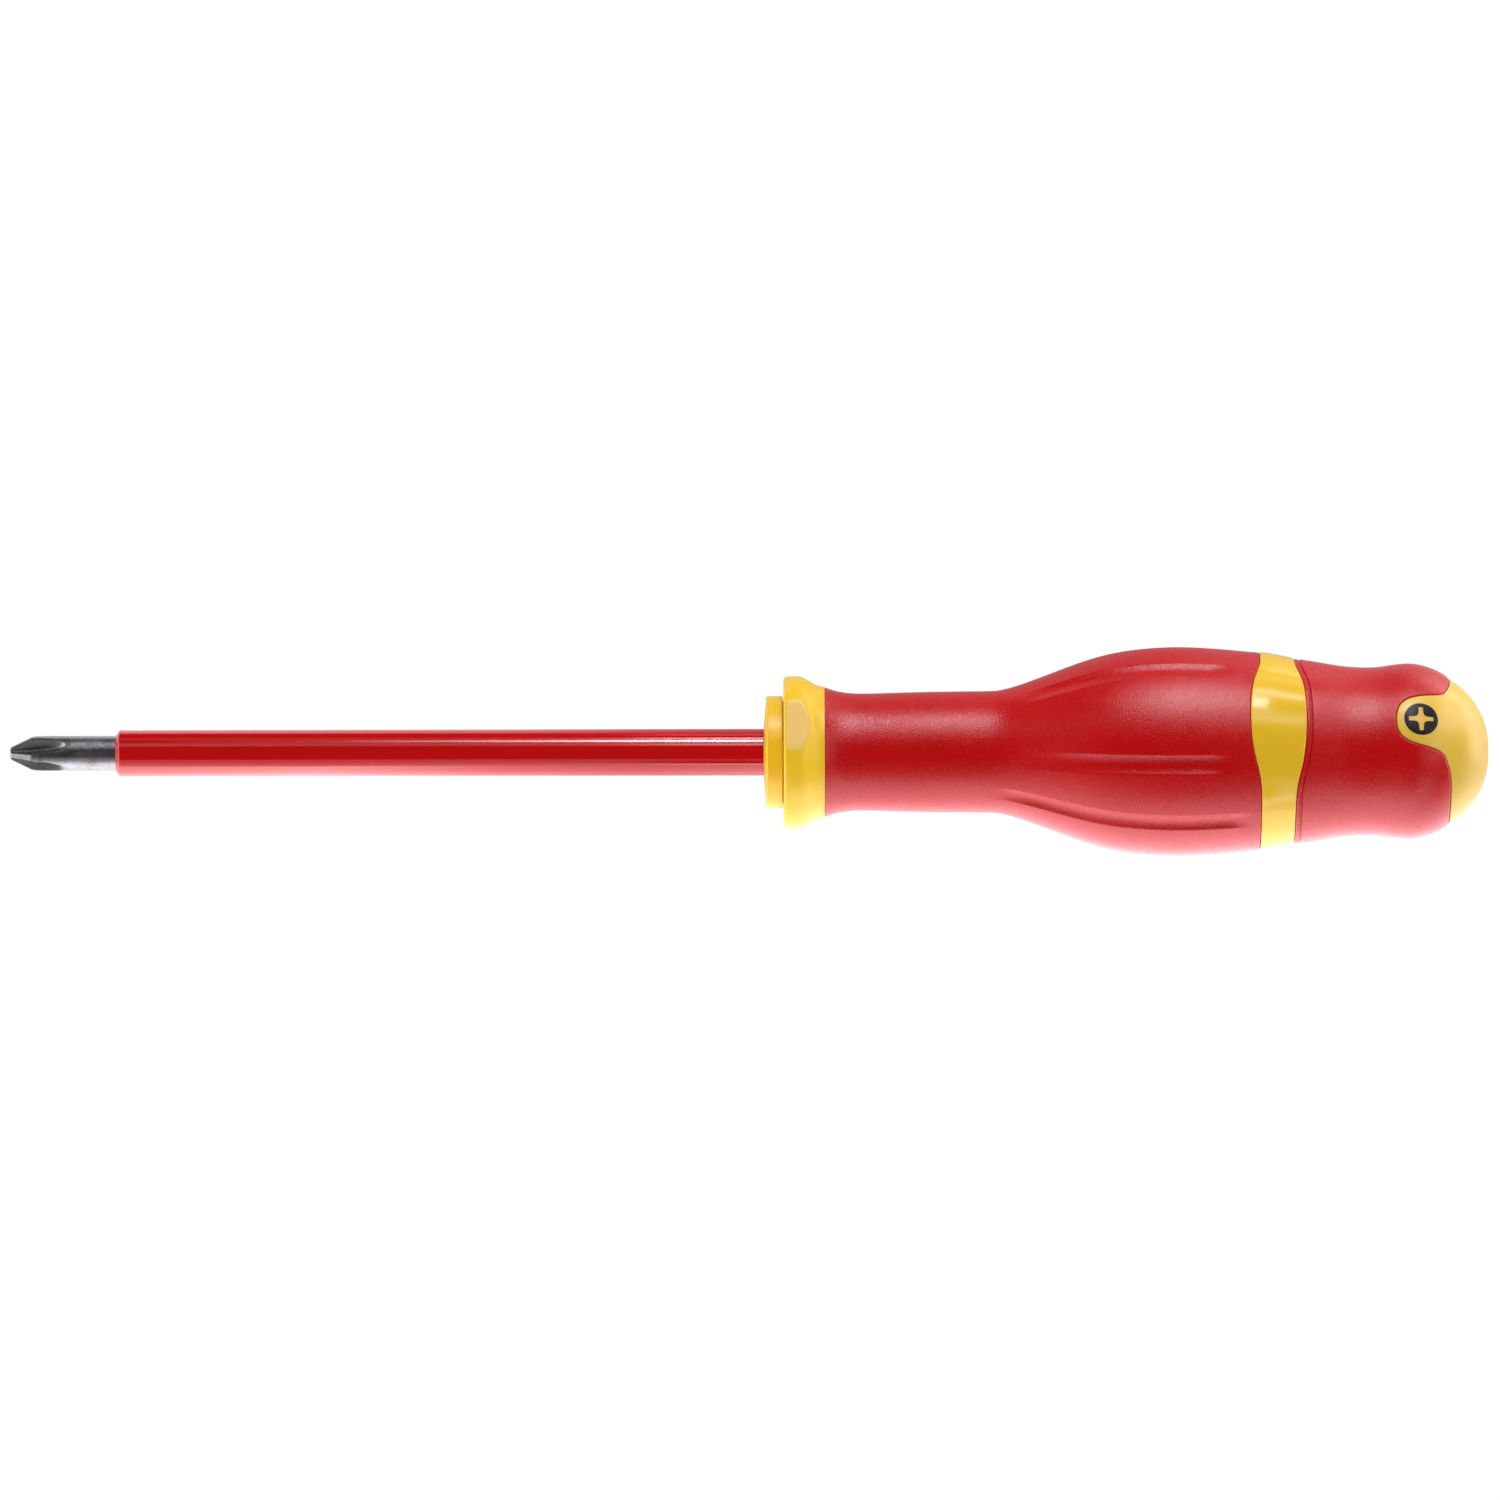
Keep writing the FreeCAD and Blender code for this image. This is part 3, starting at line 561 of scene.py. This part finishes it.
guard = guard_mesh()

# ------------------------------------------------------------------ blade
WING = 39.0 * D2R
half_tab = bspline([(0, 0.37), (2.0, 0.43), (4.3, 0.54), (6.5, 0.78), (8.0, 1.15),
                    (9.1, 1.65), (9.9, 2.3), (10.6, 3.1)], 400)


def blade_mesh():
    n = 480
    psi = np.linspace(-math.pi, math.pi, n, endpoint=False)
    prof = [(0.0, 0.0), (0.0, 0.35), (0.0, 0.7), (0.03, 0.86), (0.11, 0.99), (0.22, 1.09), (0.35, 1.16)]
    for x in np.arange(0.45, 3.42, 0.09):
        prof.append((x, 1.16 + (x - 0.35) * (2.70 - 1.16) / (3.45 - 0.35)))
    for x, r in ((3.45, 2.70), (3.55, 2.742), (3.65, 2.775), (3.8, 2.81), (4.0, 2.835),
                 (4.3, 2.86), (4.7, 2.88)):
        prof.append((x, r))
    for x in np.arange(4.78, 12.0, 0.09):
        prof.append((x, 2.9))
    for x in list(np.arange(12.5, 145.0, 2.5)):
        prof.append((x, 2.9))
    for w in (150.0, 190.0):
        for x in (w - 1.0, w, w + 0.01, w + 1.0, w + 5, w + 9.0, w + 9.99, w + 10, w + 11):
            prof.append((x, 2.9))
    prof += [(206.0, 2.9), (207.6, 2.9), (208.0, 2.5), (208.0, 1.2), (208.0, 0.0)]
    rows = []
    beta = np.abs((psi - WING + math.pi / 4) % (math.pi / 2) - math.pi / 4)
    wing_b = np.minimum(np.abs(wrap(psi)), math.pi - np.abs(wrap(psi)))
    for x, r in prof:
        rad = np.full(n, r)
        if 0 < r and x < 11.0:
            hw = np.interp(x, half_tab[:, 0], half_tab[:, 1])
            # wall of the wing, with a rounded valley between two wings
            # valley point lies on the bisector; round it with a fillet
            u = math.pi / 4 - beta
            f = 0.34 + 0.03 * x                       # fillet radius
            # flute wall r*sin(beta)=hw ; corner at (hw,hw); fillet centre (hw+f, hw+f)
            c = (hw + f) * math.sqrt(2.0)
            wall = hw / np.maximum(np.sin(beta), 1e-3)
            # ray at angle u from bisector meets fillet circle (near side)
            disc = f * f - (c * np.sin(u)) ** 2
            arc = c * np.cos(u) - np.sqrt(np.clip(disc, 0, None))
            # fillet valid between tangent points
            u_t = math.atan2(f, 2 * hw + f) if hw > 0 else 0
            tang = math.pi / 4 - math.atan2(hw, hw + f)
            fl = np.where(u < tang, arc, wall)
            k = 0.035
            hh = np.clip(0.5 + 0.5 * (fl - rad) / k, 0, 1)
            soft = fl * (1 - hh) + rad * hh - k * hh * (1 - hh)
            rad = np.where(np.abs(fl - rad) > 0.5, np.minimum(rad, fl), soft)
        for w in (150.0, 190.0):
            if w <= x <= w + 10:
                wing = np.minimum(4.4 / np.maximum(np.cos(wing_b), 0.1),
                                  0.8 / np.maximum(np.sin(wing_b), 1e-3))
                rad = np.maximum(rad, wing)
        rows.append(np.stack([np.full(n, x), psi, rad], 1))
    return rings_to_mesh("blade_skin", rows)


blade = blade_mesh()


# ------------------------------------------------------------ drive marks
def drive_mark(name, flip):
    """Round inlay with a cross-shaped window, laid on the tongue."""
    cx, rad = 233.3, 2.8
    pts, edges = [], []

    def add_loop(loop_pts):
        b = len(pts)
        pts.extend(loop_pts)
        m = len(loop_pts)
        edges.extend([(b + i, b + (i + 1) % m) for i in range(m)])

    nseg = 128
    add_loop([(rad * math.cos(TAU * i / nseg), rad * math.sin(TAU * i / nseg))
              for i in range(nseg)])
    # cross with slightly waisted arms and softened corners
    a, w, q = 2.05, 0.36, 0.62
    quarter = [(a, -w), (a, w), (1.35, 0.375), (0.95, 0.43), (0.72, 0.52), (q, q),
               (0.52, 0.72), (0.43, 0.95), (0.375, 1.35)]
    cross = []
    rot = 1.5 * D2R
    for k in range(4):
        ck, sk = math.cos(k * math.pi / 2), math.sin(k * math.pi / 2)
        for x, y in quarter:
            cross.append((x * ck - y * sk, x * sk + y * ck))
    cross = [(x * math.cos(rot) - y * math.sin(rot), x * math.sin(rot) + y * math.cos(rot))
             for x, y in cross]
    add_loop(cross)
    # inner grid so that the inlay bends with the surface
    g = np.arange(-2.7, 2.71, 0.3)
    for gx in g:
        for gy in g:
            if math.hypot(gx, gy) < 2.65 and not (
                    (abs(gx) < 2.3 and abs(gy) < 0.75) or (abs(gy) < 2.3 and abs(gx) < 0.75)):
                pts.append((gx, gy))
    v2, _, f2, _, _, _ = delaunay_2d_cdt([Vector(p) for p in pts], edges, [], 0, 1e-5)
    v2 = [(v.x, v.y) for v in v2]

    def inside_cross(px, py):
        c, s = math.cos(-rot), math.sin(-rot)
        x, y = abs(px * c - py * s), abs(px * s + py * c)
        if x < y:
            x, y = y, x
        return x < a and y < np.interp(x, [0, q, 0.72, 0.95, 1.35, a], [q, q, 0.52, 0.43, 0.375, w])

    tris = []
    for f in f2:
        mx = sum(v2[i][0] for i in f) / len(f)
        my = sum(v2[i][1] for i in f) / len(f)
        if math.hypot(mx, my) < rad and not inside_cross(mx, my):
            tris.append(tuple(f))
    used = sorted({i for f in tris for i in f})
    remap = {i: k for k, i in enumerate(used)}
    top, low = [], []
    for i in used:
        px, py = v2[i]
        x = cx + px
        r = float(cap_r_of_x(x))
        t = py
        z = math.sqrt(max(r * r - t * t, 0))
        n = Vector((0, t / r, z / r))
        e = min(rad - math.hypot(px, py), 0.08) / 0.08
        lift = 0.025 + 0.02 * e
        top.append((x, t + n.y * lift, z + n.z * lift))
        low.append((x, t - n.y * 0.12, z - n.z * 0.12))
    m = len(used)
    faces = []
    count = {}
    for f in tris:
        g3 = [remap[i] for i in f]
        faces.append(tuple(g3))
        faces.append(tuple(m + i for i in reversed(g3)))
        for i in range(len(g3)):
            e = (g3[i], g3[(i + 1) % len(g3)])
            count[e] = count.get(e, 0) + 1
    for (i, j) in list(count):
        if (j, i) not in count:
            faces.append((j, i, m + i, m + j))
    verts = np.array(top + low)
    if flip:
        verts = verts * np.array([1, -1, -1])
    else:
        verts = verts * np.array([1, 1, 1])
    return make_object(name, verts, faces)


mark_top = drive_mark("drive_mark_top_inlay", False)
mark_bottom = drive_mark("drive_mark_bottom_inlay", True)
for o in (mark_top, mark_bottom):
    import bmesh
    bm = bmesh.new()
    bm.from_mesh(o.data)
    bmesh.ops.recalc_face_normals(bm, faces=bm.faces)
    bm.to_mesh(o.data)
    bm.free()
    o.data.polygons.foreach_set("use_smooth", [False] * len(o.data.polygons))

# -------------------------------------------------------------- replaced
for o, node, slot in (
    (front_grip, "front_grip", "grip_red"), (window_band, "window_band", "gloss_yellow"),
    (rear_grip, "rear_grip", "grip_red"), (end_cap, "end_cap", "hard_yellow"),
    (sleeve, "blade_sleeve", "sleeve_red"), (nose, "nose_ring", "hard_yellow"),
    (guard, "guard_flange", "hard_yellow"), (blade, "blade", "blade_steel"),
    (mark_top, "drive_mark_top", "mark_black"),
    (mark_bottom, "drive_mark_bottom", "mark_black"),
):
    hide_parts(node)


# ------------------------------------------------------------- materials
class Mat:
    def __init__(self, name):
        self.m = bpy.data.materials.new(name)
        self.m.use_nodes = True
        self.t = self.m.node_tree
        self.t.nodes.clear()
        self.out = self.t.nodes.new("ShaderNodeOutputMaterial")
        self.b = self.t.nodes.new("ShaderNodeBsdfPrincipled")
        self.link(self.b.outputs[0], self.out.inputs[0])
        self.tc = self.t.nodes.new("ShaderNodeTexCoord")
        self.pos = self.tc.outputs["Object"]

    def link(self, a, b):
        self.t.links.new(a, b)

    def node(self, kind, **kw):
        n = self.t.nodes.new(kind)
        for k, v in kw.items():
            setattr(n, k, v)
        return n

    def noise(self, scale, detail=4.0, rough=0.5, vec=None, dist=0.0):
        n = self.node("ShaderNodeTexNoise")
        n.inputs["Scale"].default_value = scale
        n.inputs["Detail"].default_value = detail
        n.inputs["Roughness"].default_value = rough
        n.inputs["Distortion"].default_value = dist
        self.link(vec or self.pos, n.inputs["Vector"])
        return n.outputs["Fac"]

    def stretch(self, sx, sy, sz):
        n = self.node("ShaderNodeMapping")
        n.inputs["Scale"].default_value = (sx, sy, sz)
        self.link(self.pos, n.inputs["Vector"])
        return n.outputs[0]

    def ramp(self, fac, stops):
        n = self.node("ShaderNodeValToRGB")
        e = n.color_ramp.elements
        while len(e) < len(stops):
            e.new(0.5)
        for s, (p, c) in zip(e, stops):
            s.position = p
            s.color = c if len(c) == 4 else (*c, 1)
        self.link(fac, n.inputs[0])
        return n.outputs[0]

    def maprange(self, fac, a, b, c, d):
        n = self.node("ShaderNodeMapRange")
        for i, v in enumerate((a, b, c, d), start=1):
            n.inputs[i].default_value = v
        self.link(fac, n.inputs[0])
        return n.outputs[0]

    def mix(self, fac, a, b, mode="MIX"):
        n = self.node("ShaderNodeMix", data_type="RGBA", blend_type=mode)
        if isinstance(fac, (int, float)):
            n.inputs[0].default_value = fac
        else:
            self.link(fac, n.inputs[0])
        for sock, v in ((n.inputs[6], a), (n.inputs[7], b)):
            if isinstance(v, tuple):
                sock.default_value = (*v, 1) if len(v) == 3 else v
            else:
                self.link(v, sock)
        return n.outputs[2]

    def math(self, op, a, b=None):
        n = self.node("ShaderNodeMath", operation=op)
        for sock, v in ((n.inputs[0], a), (n.inputs[1], b)):
            if v is None:
                continue
            if isinstance(v, (int, float)):
                sock.default_value = v
            else:
                self.link(v, sock)
        return n.outputs[0]

    def bump(self, height, strength, distance, prev=None):
        n = self.node("ShaderNodeBump")
        n.inputs["Strength"].default_value = strength
        n.inputs["Distance"].default_value = distance
        self.link(height, n.inputs["Height"])
        if prev is not None:
            self.link(prev, n.inputs["Normal"])
        return n.outputs[0]

    def set(self, **kw):
        for k, v in kw.items():
            k = k.replace("_", " ")
            s = self.b.inputs[k]
            if isinstance(v, (int, float)):
                s.default_value = v
            elif isinstance(v, tuple):
                s.default_value = (*v, 1) if len(v) == 3 else v
            else:
                self.link(v, s)


def grip_red():
    m = Mat("grip_red")
    grain = m.noise(4300, 1.0, 0.5)
    fine = m.noise(8000, 1.0, 0.5)
    mid = m.noise(900, 3.0, 0.55)
    broad = m.noise(70, 3.0, 0.5)
    col = m.mix(m.maprange(broad, 0.3, 0.7, 0, 1), (0.54, 0.0008, 0.0010), (0.58, 0.0016, 0.0020))
    # lighter pink specks: partly the grain's own tone, partly painted sparkle standing in for glints
    col = m.mix(m.maprange(grain, 0.58, 0.78, 0, 0.35), col, (0.68, 0.022, 0.028))
    col = m.mix(m.maprange(grain, 0.22, 0.40, 0.30, 0), col, (0.36, 0.001, 0.001))
    rough = m.maprange(grain, 0.38, 0.62, 0.35, 0.15)
    n1 = m.bump(mid, 0.35, 0.00006)
    n2 = m.bump(grain, 1.0, 0.000055, n1)
    n3 = m.bump(fine, 1.0, 0.000008, n2)
    m.set(Base_Color=col, Roughness=rough, Normal=n3)
    m.b.inputs["Specular IOR Level"].default_value = 0.5
    return m.m


def sleeve_red():
    m = Mat("sleeve_red")
    broad = m.noise(120, 2.0, 0.5, m.stretch(0.15, 1, 1))
    fine = m.noise(3500, 3.0, 0.6, m.stretch(0.3, 1, 1))
    col = m.mix(m.maprange(broad, 0.3, 0.7, 0, 1), (0.55, 0.0010, 0.0010), (0.59, 0.0015, 0.0016))
    rough = m.maprange(fine, 0.3, 0.7, 0.065, 0.10)
    n = m.bump(broad, 0.04, 0.00008)
    n = m.bump(fine, 0.10, 0.00001, n)
    m.set(Base_Color=col, Roughness=rough, Normal=n)
    m.b.inputs["Specular IOR Level"].default_value = 0.8
    return m.m


def hard_yellow(name, gloss, a, b):
    m = Mat(name)
    broad = m.noise(90, 3.0, 0.5)
    fine = m.noise(4200, 3.0, 0.6)
    col = m.mix(m.maprange(broad, 0.3, 0.7, 0, 1), a, b)
    if gloss:
        rough = m.maprange(fine, 0.3, 0.7, 0.16, 0.22)
        n = m.bump(broad, 0.10, 0.0001)
        n = m.bump(fine, 0.08, 0.00001, n)
    else:
        # the guard's two flats are left matt and paler than the turned faces
        sep = m.node("ShaderNodeSeparateXYZ")
        m.link(m.pos, sep.inputs[0])
        high = m.math("GREATER_THAN", m.math("ABSOLUTE", sep.outputs[2]), 0.01169)
        front = m.math("LESS_THAN", sep.outputs[0], 0.1345)
        front = m.math("MULTIPLY", front, m.math("GREATER_THAN", sep.outputs[0], 0.12862))
        flat = m.math("MULTIPLY", high, front)
        grit = m.noise(3000, 2.0, 0.6)
        pale = m.mix(m.maprange(grit, 0.3, 0.7, 0, 1), (0.88, 0.55, 0.065), (0.94, 0.62, 0.115))
        col = m.mix(flat, col, pale)
        rough = m.maprange(fine, 0.3, 0.7, 0.26, 0.34)
        rough = m.math("ADD", rough, m.math("MULTIPLY", flat, 0.06))
        n = m.bump(broad, 0.10, 0.0001)
        n = m.bump(fine, 0.35, 0.00002, n)
        n = m.bump(m.math("MULTIPLY", grit, flat), 0.5, 0.00008, n)
    m.set(Base_Color=col, Roughness=rough, Normal=n)
    m.b.inputs["Subsurface Weight"].default_value = 0.08
    m.b.inputs["Subsurface Radius"].default_value = (0.002, 0.0012, 0.0004)
    m.b.inputs["Subsurface Scale"].default_value = 1.0
    return m.m


def blade_steel():
    m = Mat("blade_steel")
    s = m.stretch(0.35, 1, 1)
    broad = m.noise(420, 5.0, 0.65, s, 0.6)
    spots = m.noise(1500, 4.0, 0.7)
    lines = m.noise(2600, 3.0, 0.6, m.stretch(0.12, 1, 1))
    rust = m.noise(700, 4.0, 0.7, m.stretch(0.5, 1, 1))
    col = m.mix(m.maprange(broad, 0.35, 0.65, 0, 1), (0.20, 0.195, 0.185), (0.31, 0.305, 0.315))
    col = m.mix(m.maprange(rust, 0.54, 0.66, 0, 0.5), col, (0.11, 0.09, 0.06))
    col = m.mix(m.maprange(spots, 0.58, 0.70, 0, 0.75), col, (0.04, 0.03, 0.02))
    col = m.mix(m.maprange(spots, 0.25, 0.38, 0.5, 0), col, (0.45, 0.44, 0.46))
    rough = m.maprange(broad, 0.3, 0.7, 0.22, 0.36)
    n = m.bump(spots, 0.45, 0.00005)
    n = m.bump(lines, 0.25, 0.00002, n)
    m.set(Base_Color=col, Roughness=rough, Normal=n, Metallic=0.9)
    return m.m


def mark_black():
    m = Mat("mark_black")
    f = m.noise(2600, 3.0, 0.6)
    col = m.mix(m.maprange(f, 0.3, 0.7, 0, 1), (0.008, 0.007, 0.010), (0.016, 0.013, 0.020))
    rough = m.maprange(f, 0.3, 0.7, 0.26, 0.36)
    m.set(Base_Color=col, Roughness=rough, Normal=m.bump(f, 0.2, 0.00002))
    m.b.inputs["Specular IOR Level"].default_value = 0.22
    return m.m


def core_yellow():
    m = Mat("core_yellow")
    f = m.noise(900, 3.0, 0.6)
    col = m.mix(m.maprange(f, 0.3, 0.7, 0, 1), (0.70, 0.40, 0.02), (0.76, 0.44, 0.025))
    m.set(Base_Color=col, Roughness=m.maprange(f, 0.3, 0.7, 0.45, 0.6),
          Normal=m.bump(f, 0.2, 0.00004))
    return m.m


mats = {
    "grip_red": grip_red(), "sleeve_red": sleeve_red(),
    "hard_yellow": hard_yellow("hard_yellow", False, (0.93, 0.590, 0.012), (0.97, 0.630, 0.020)),
    # the end cap's yellow is mixed paler in blue: a painted sheen over its own yellow
    "cap_yellow": hard_yellow("cap_yellow", False, (0.76, 0.490, 0.045), (0.80, 0.530, 0.060)),
    "gloss_yellow": hard_yellow("gloss_yellow", True, (0.84, 0.525, 0.016), (0.88, 0.565, 0.026)),
    "blade_steel": blade_steel(), "mark_black": mark_black(), "core_yellow": core_yellow(),
}
for o, key in ((front_grip, "grip_red"), (rear_grip, "grip_red"),
               (window_band, "gloss_yellow"), (end_cap, "cap_yellow"),
               (nose, "hard_yellow"), (guard, "hard_yellow"), (sleeve, "sleeve_red"),
               (blade, "blade_steel"), (mark_top, "mark_black"), (mark_bottom, "mark_black")):
    o.data.materials.clear()
    o.data.materials.append(mats[key])
for name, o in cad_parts.items():
    if name == "handle_core":
        for s in o.material_slots:
            s.material = mats["core_yellow"]

# ----------------------------------------------------------- floor, lights
low_z = cad_box[0][2]
bpy.ops.mesh.primitive_plane_add(size=6.0, location=(CX, 0, low_z - 0.0002))
floor = bpy.context.object
floor.name = "floor"
fm = bpy.data.materials.new("floor_pale")
fm.use_nodes = True
ft = fm.node_tree
fb = ft.nodes["Principled BSDF"]
fb.inputs["Base Color"].default_value = (0.04, 0.04, 0.04, 1)
fb.inputs["Roughness"].default_value = 0.9
fb.inputs["Specular IOR Level"].default_value = 0.0
fb.inputs["Emission Color"].default_value = (1, 1, 1, 1)
ftc = ft.nodes.new("ShaderNodeTexCoord")
fsep = ft.nodes.new("ShaderNodeSeparateXYZ")
ft.links.new(ftc.outputs["Object"], fsep.inputs[0])
fx = ft.nodes.new("ShaderNodeMapRange")        # x along the floor, from the tool's middle
for k, v in enumerate((-0.25, 0.25, 0.0, 1.0), start=1):
    fx.inputs[k].default_value = v
ft.links.new(fsep.outputs[0], fx.inputs[0])


def floor_ramp(stops):
    n = ft.nodes.new("ShaderNodeValToRGB")
    e = n.color_ramp.elements
    while len(e) < len(stops):
        e.new(0.5)
    for s, (x, v) in zip(e, stops):
        s.position = (x - CX + 0.25) / 0.5
        s.color = (v, 0.975 * v, 1.04 * v, 1)
    ft.links.new(fx.outputs[0], n.inputs[0])
    return n


# glow levels of the floor's painted light along x, in front of the tool (near) and behind it (far)
FLOOR_X = (-0.03, 0.02, 0.05, 0.08, 0.105, 0.14, 0.19, 0.235, 0.265, 0.31)
ramp_near = floor_ramp(list(zip(FLOOR_X, (2.8, 3.3, 4.2, 2.1, 1.6, 2.4, 2.7, 2.8, 2.1, 0.9))))
ramp_far = floor_ramp(list(zip(FLOOR_X, (1.0, 1.4, 1.2, 1.0, 0.5, 0.35, 0.3, 0.5, 0.8, 3.0))))
fside = ft.nodes.new("ShaderNodeMapRange")     # 0 in front of the tool, 1 behind it
fside.interpolation_type = "SMOOTHSTEP"
for k, v in enumerate((-0.020, 0.004, 0.0, 1.0), start=1):
    fside.inputs[k].default_value = v
ft.links.new(fsep.outputs[1], fside.inputs[0])
fmap = ft.nodes.new("ShaderNodeMix")
fmap.data_type = "RGBA"
ft.links.new(fside.outputs[0], fmap.inputs[0])
ft.links.new(ramp_near.outputs[0], fmap.inputs[6])
ft.links.new(ramp_far.outputs[0], fmap.inputs[7])
# plain white to look at; to reflections and bounce light the floor glows as painted light, mostly
# brighter in front of the tool than behind it and varying along its length, standing in for a lit bounce
# card
flp = ft.nodes.new("ShaderNodeLightPath")
fmix = ft.nodes.new("ShaderNodeMix")
fmix.data_type = "RGBA"
ft.links.new(flp.outputs["Is Camera Ray"], fmix.inputs[0])
ft.links.new(fmap.outputs[2], fmix.inputs[6])
fmix.inputs[7].default_value = (1, 1, 1, 1)
ft.links.new(fmix.outputs[2], fb.inputs["Emission Color"])
fb.inputs["Emission Strength"].default_value = 1.0
floor.data.materials.append(fm)

MID = Vector((0.1226, 0, 0))


def softbox(name, phi, dist, size_x, size_y, level, x=0.1226, tilt_x=0.0):
    """Area light at angle phi from the line of sight (towards the picture's top).
    level is its brightness as seen in a mirror, 1 being white."""
    d = TO_CAM * math.cos(phi * D2R) + IMG_UP * math.sin(phi * D2R)
    d = (d * math.cos(tilt_x * D2R) + IMG_RIGHT * math.sin(tilt_x * D2R)).normalized()
    L = bpy.data.lights.new(name, "AREA")
    L.shape = "RECTANGLE"
    L.size = size_y
    L.size_y = size_x
    L.energy = level * math.pi * size_x * size_y
    L.color = (1.0, 0.975, 1.04)
    o = bpy.data.objects.new(name, L)
    bpy.context.scene.collection.objects.link(o)
    place(o, d, dist, Vector((x, 0, 0)), up=Vector((1, 0, 0)))
    return o


def panel(name, phi, dphi, x0, x1, level, dist=0.9):
    """Long softbox that fills dphi degrees round phi, between x0 and x1 metres."""
    wide = 2 * dist * math.tan(dphi / 2 * D2R)
    return softbox(name, phi, dist, x1 - x0, wide, level, x=(x0 + x1) / 2)


# the long strip above the tool, fading towards the tip
STRIP_X = (0.0, 0.04, 0.06, 0.075, 0.088, 0.105, 0.13, 0.20, 0.385)
for k, level in enumerate((0.3, 2.3, 4.2, 6.5, 13.0, 16.5, 9.5, 14.5)):
    panel("strip_%d" % k, 59, 12, STRIP_X[k], STRIP_X[k + 1], level, dist=0.8)
panel("top_38_left", 38, 8, -0.55, 0.10, 0.6)
panel("top_38_right", 38, 8, 0.10, 0.75, 3.1)
panel("top_46_left", 46, 8, -0.55, 0.10, 0.5)
panel("top_46_right", 46, 8, 0.10, 0.75, 1.6)
panel("top_74_left", 74, 8, -0.55, 0.10, 0.36)
panel("top_74_right", 74, 8, 0.10, 0.75, 6.6)
panel("top_98_right", 98, 14, 0.10, 0.75, 0.8)
panel("low_38_left", -38, 8, -0.55, 0.10, 0.6)
panel("low_38_right", -38, 8, 0.10, 0.75, 0.35)
panel("low_46_left", -46, 8, -0.55, 0.10, 0.6)
panel("low_54_left", -54, 8, -0.55, 0.10, 0.9)
panel("low_62_left", -62, 8, -0.55, 0.10, 1.3)
panel("low_62_right", -62, 8, 0.10, 0.75, 3.3)
softbox("side_left_high", 20, 0.9, 0.4, 1.0, 0.28, x=0.12, tilt_x=-55)
softbox("side_left_low", 20, 0.9, 0.4, 1.0, 3.4, x=0.12, tilt_x=-80)
softbox("side_right", 10, 0.9, 0.4, 0.7, 1.25, x=0.12, tilt_x=50)
softbox("back_right", 75, 0.9, 0.3, 0.5, 3.0, x=0.12, tilt_x=60)
softbox("back_far", 105, 0.9, 0.3, 0.4, 1.0, x=0.12, tilt_x=40)
softbox("front_right", -50, 0.9, 0.3, 0.3, 1.2, x=0.12, tilt_x=35)
softbox("front_left", -50, 0.9, 0.4, 0.3, 0.8, x=0.12, tilt_x=-50)

world = bpy.data.worlds.new("studio")
world.use_nodes = True
bpy.context.scene.world = world
bg = world.node_tree.nodes["Background"]
bg.inputs[0].default_value = (1, 1, 1, 1)
bg.inputs[1].default_value = 0.06

bpy.context.scene.view_settings.view_transform = "Standard"
bpy.context.scene.view_settings.look = "None"
bpy.context.scene.view_settings.exposure = 0.0
bpy.context.scene.view_settings.gamma = 1.0
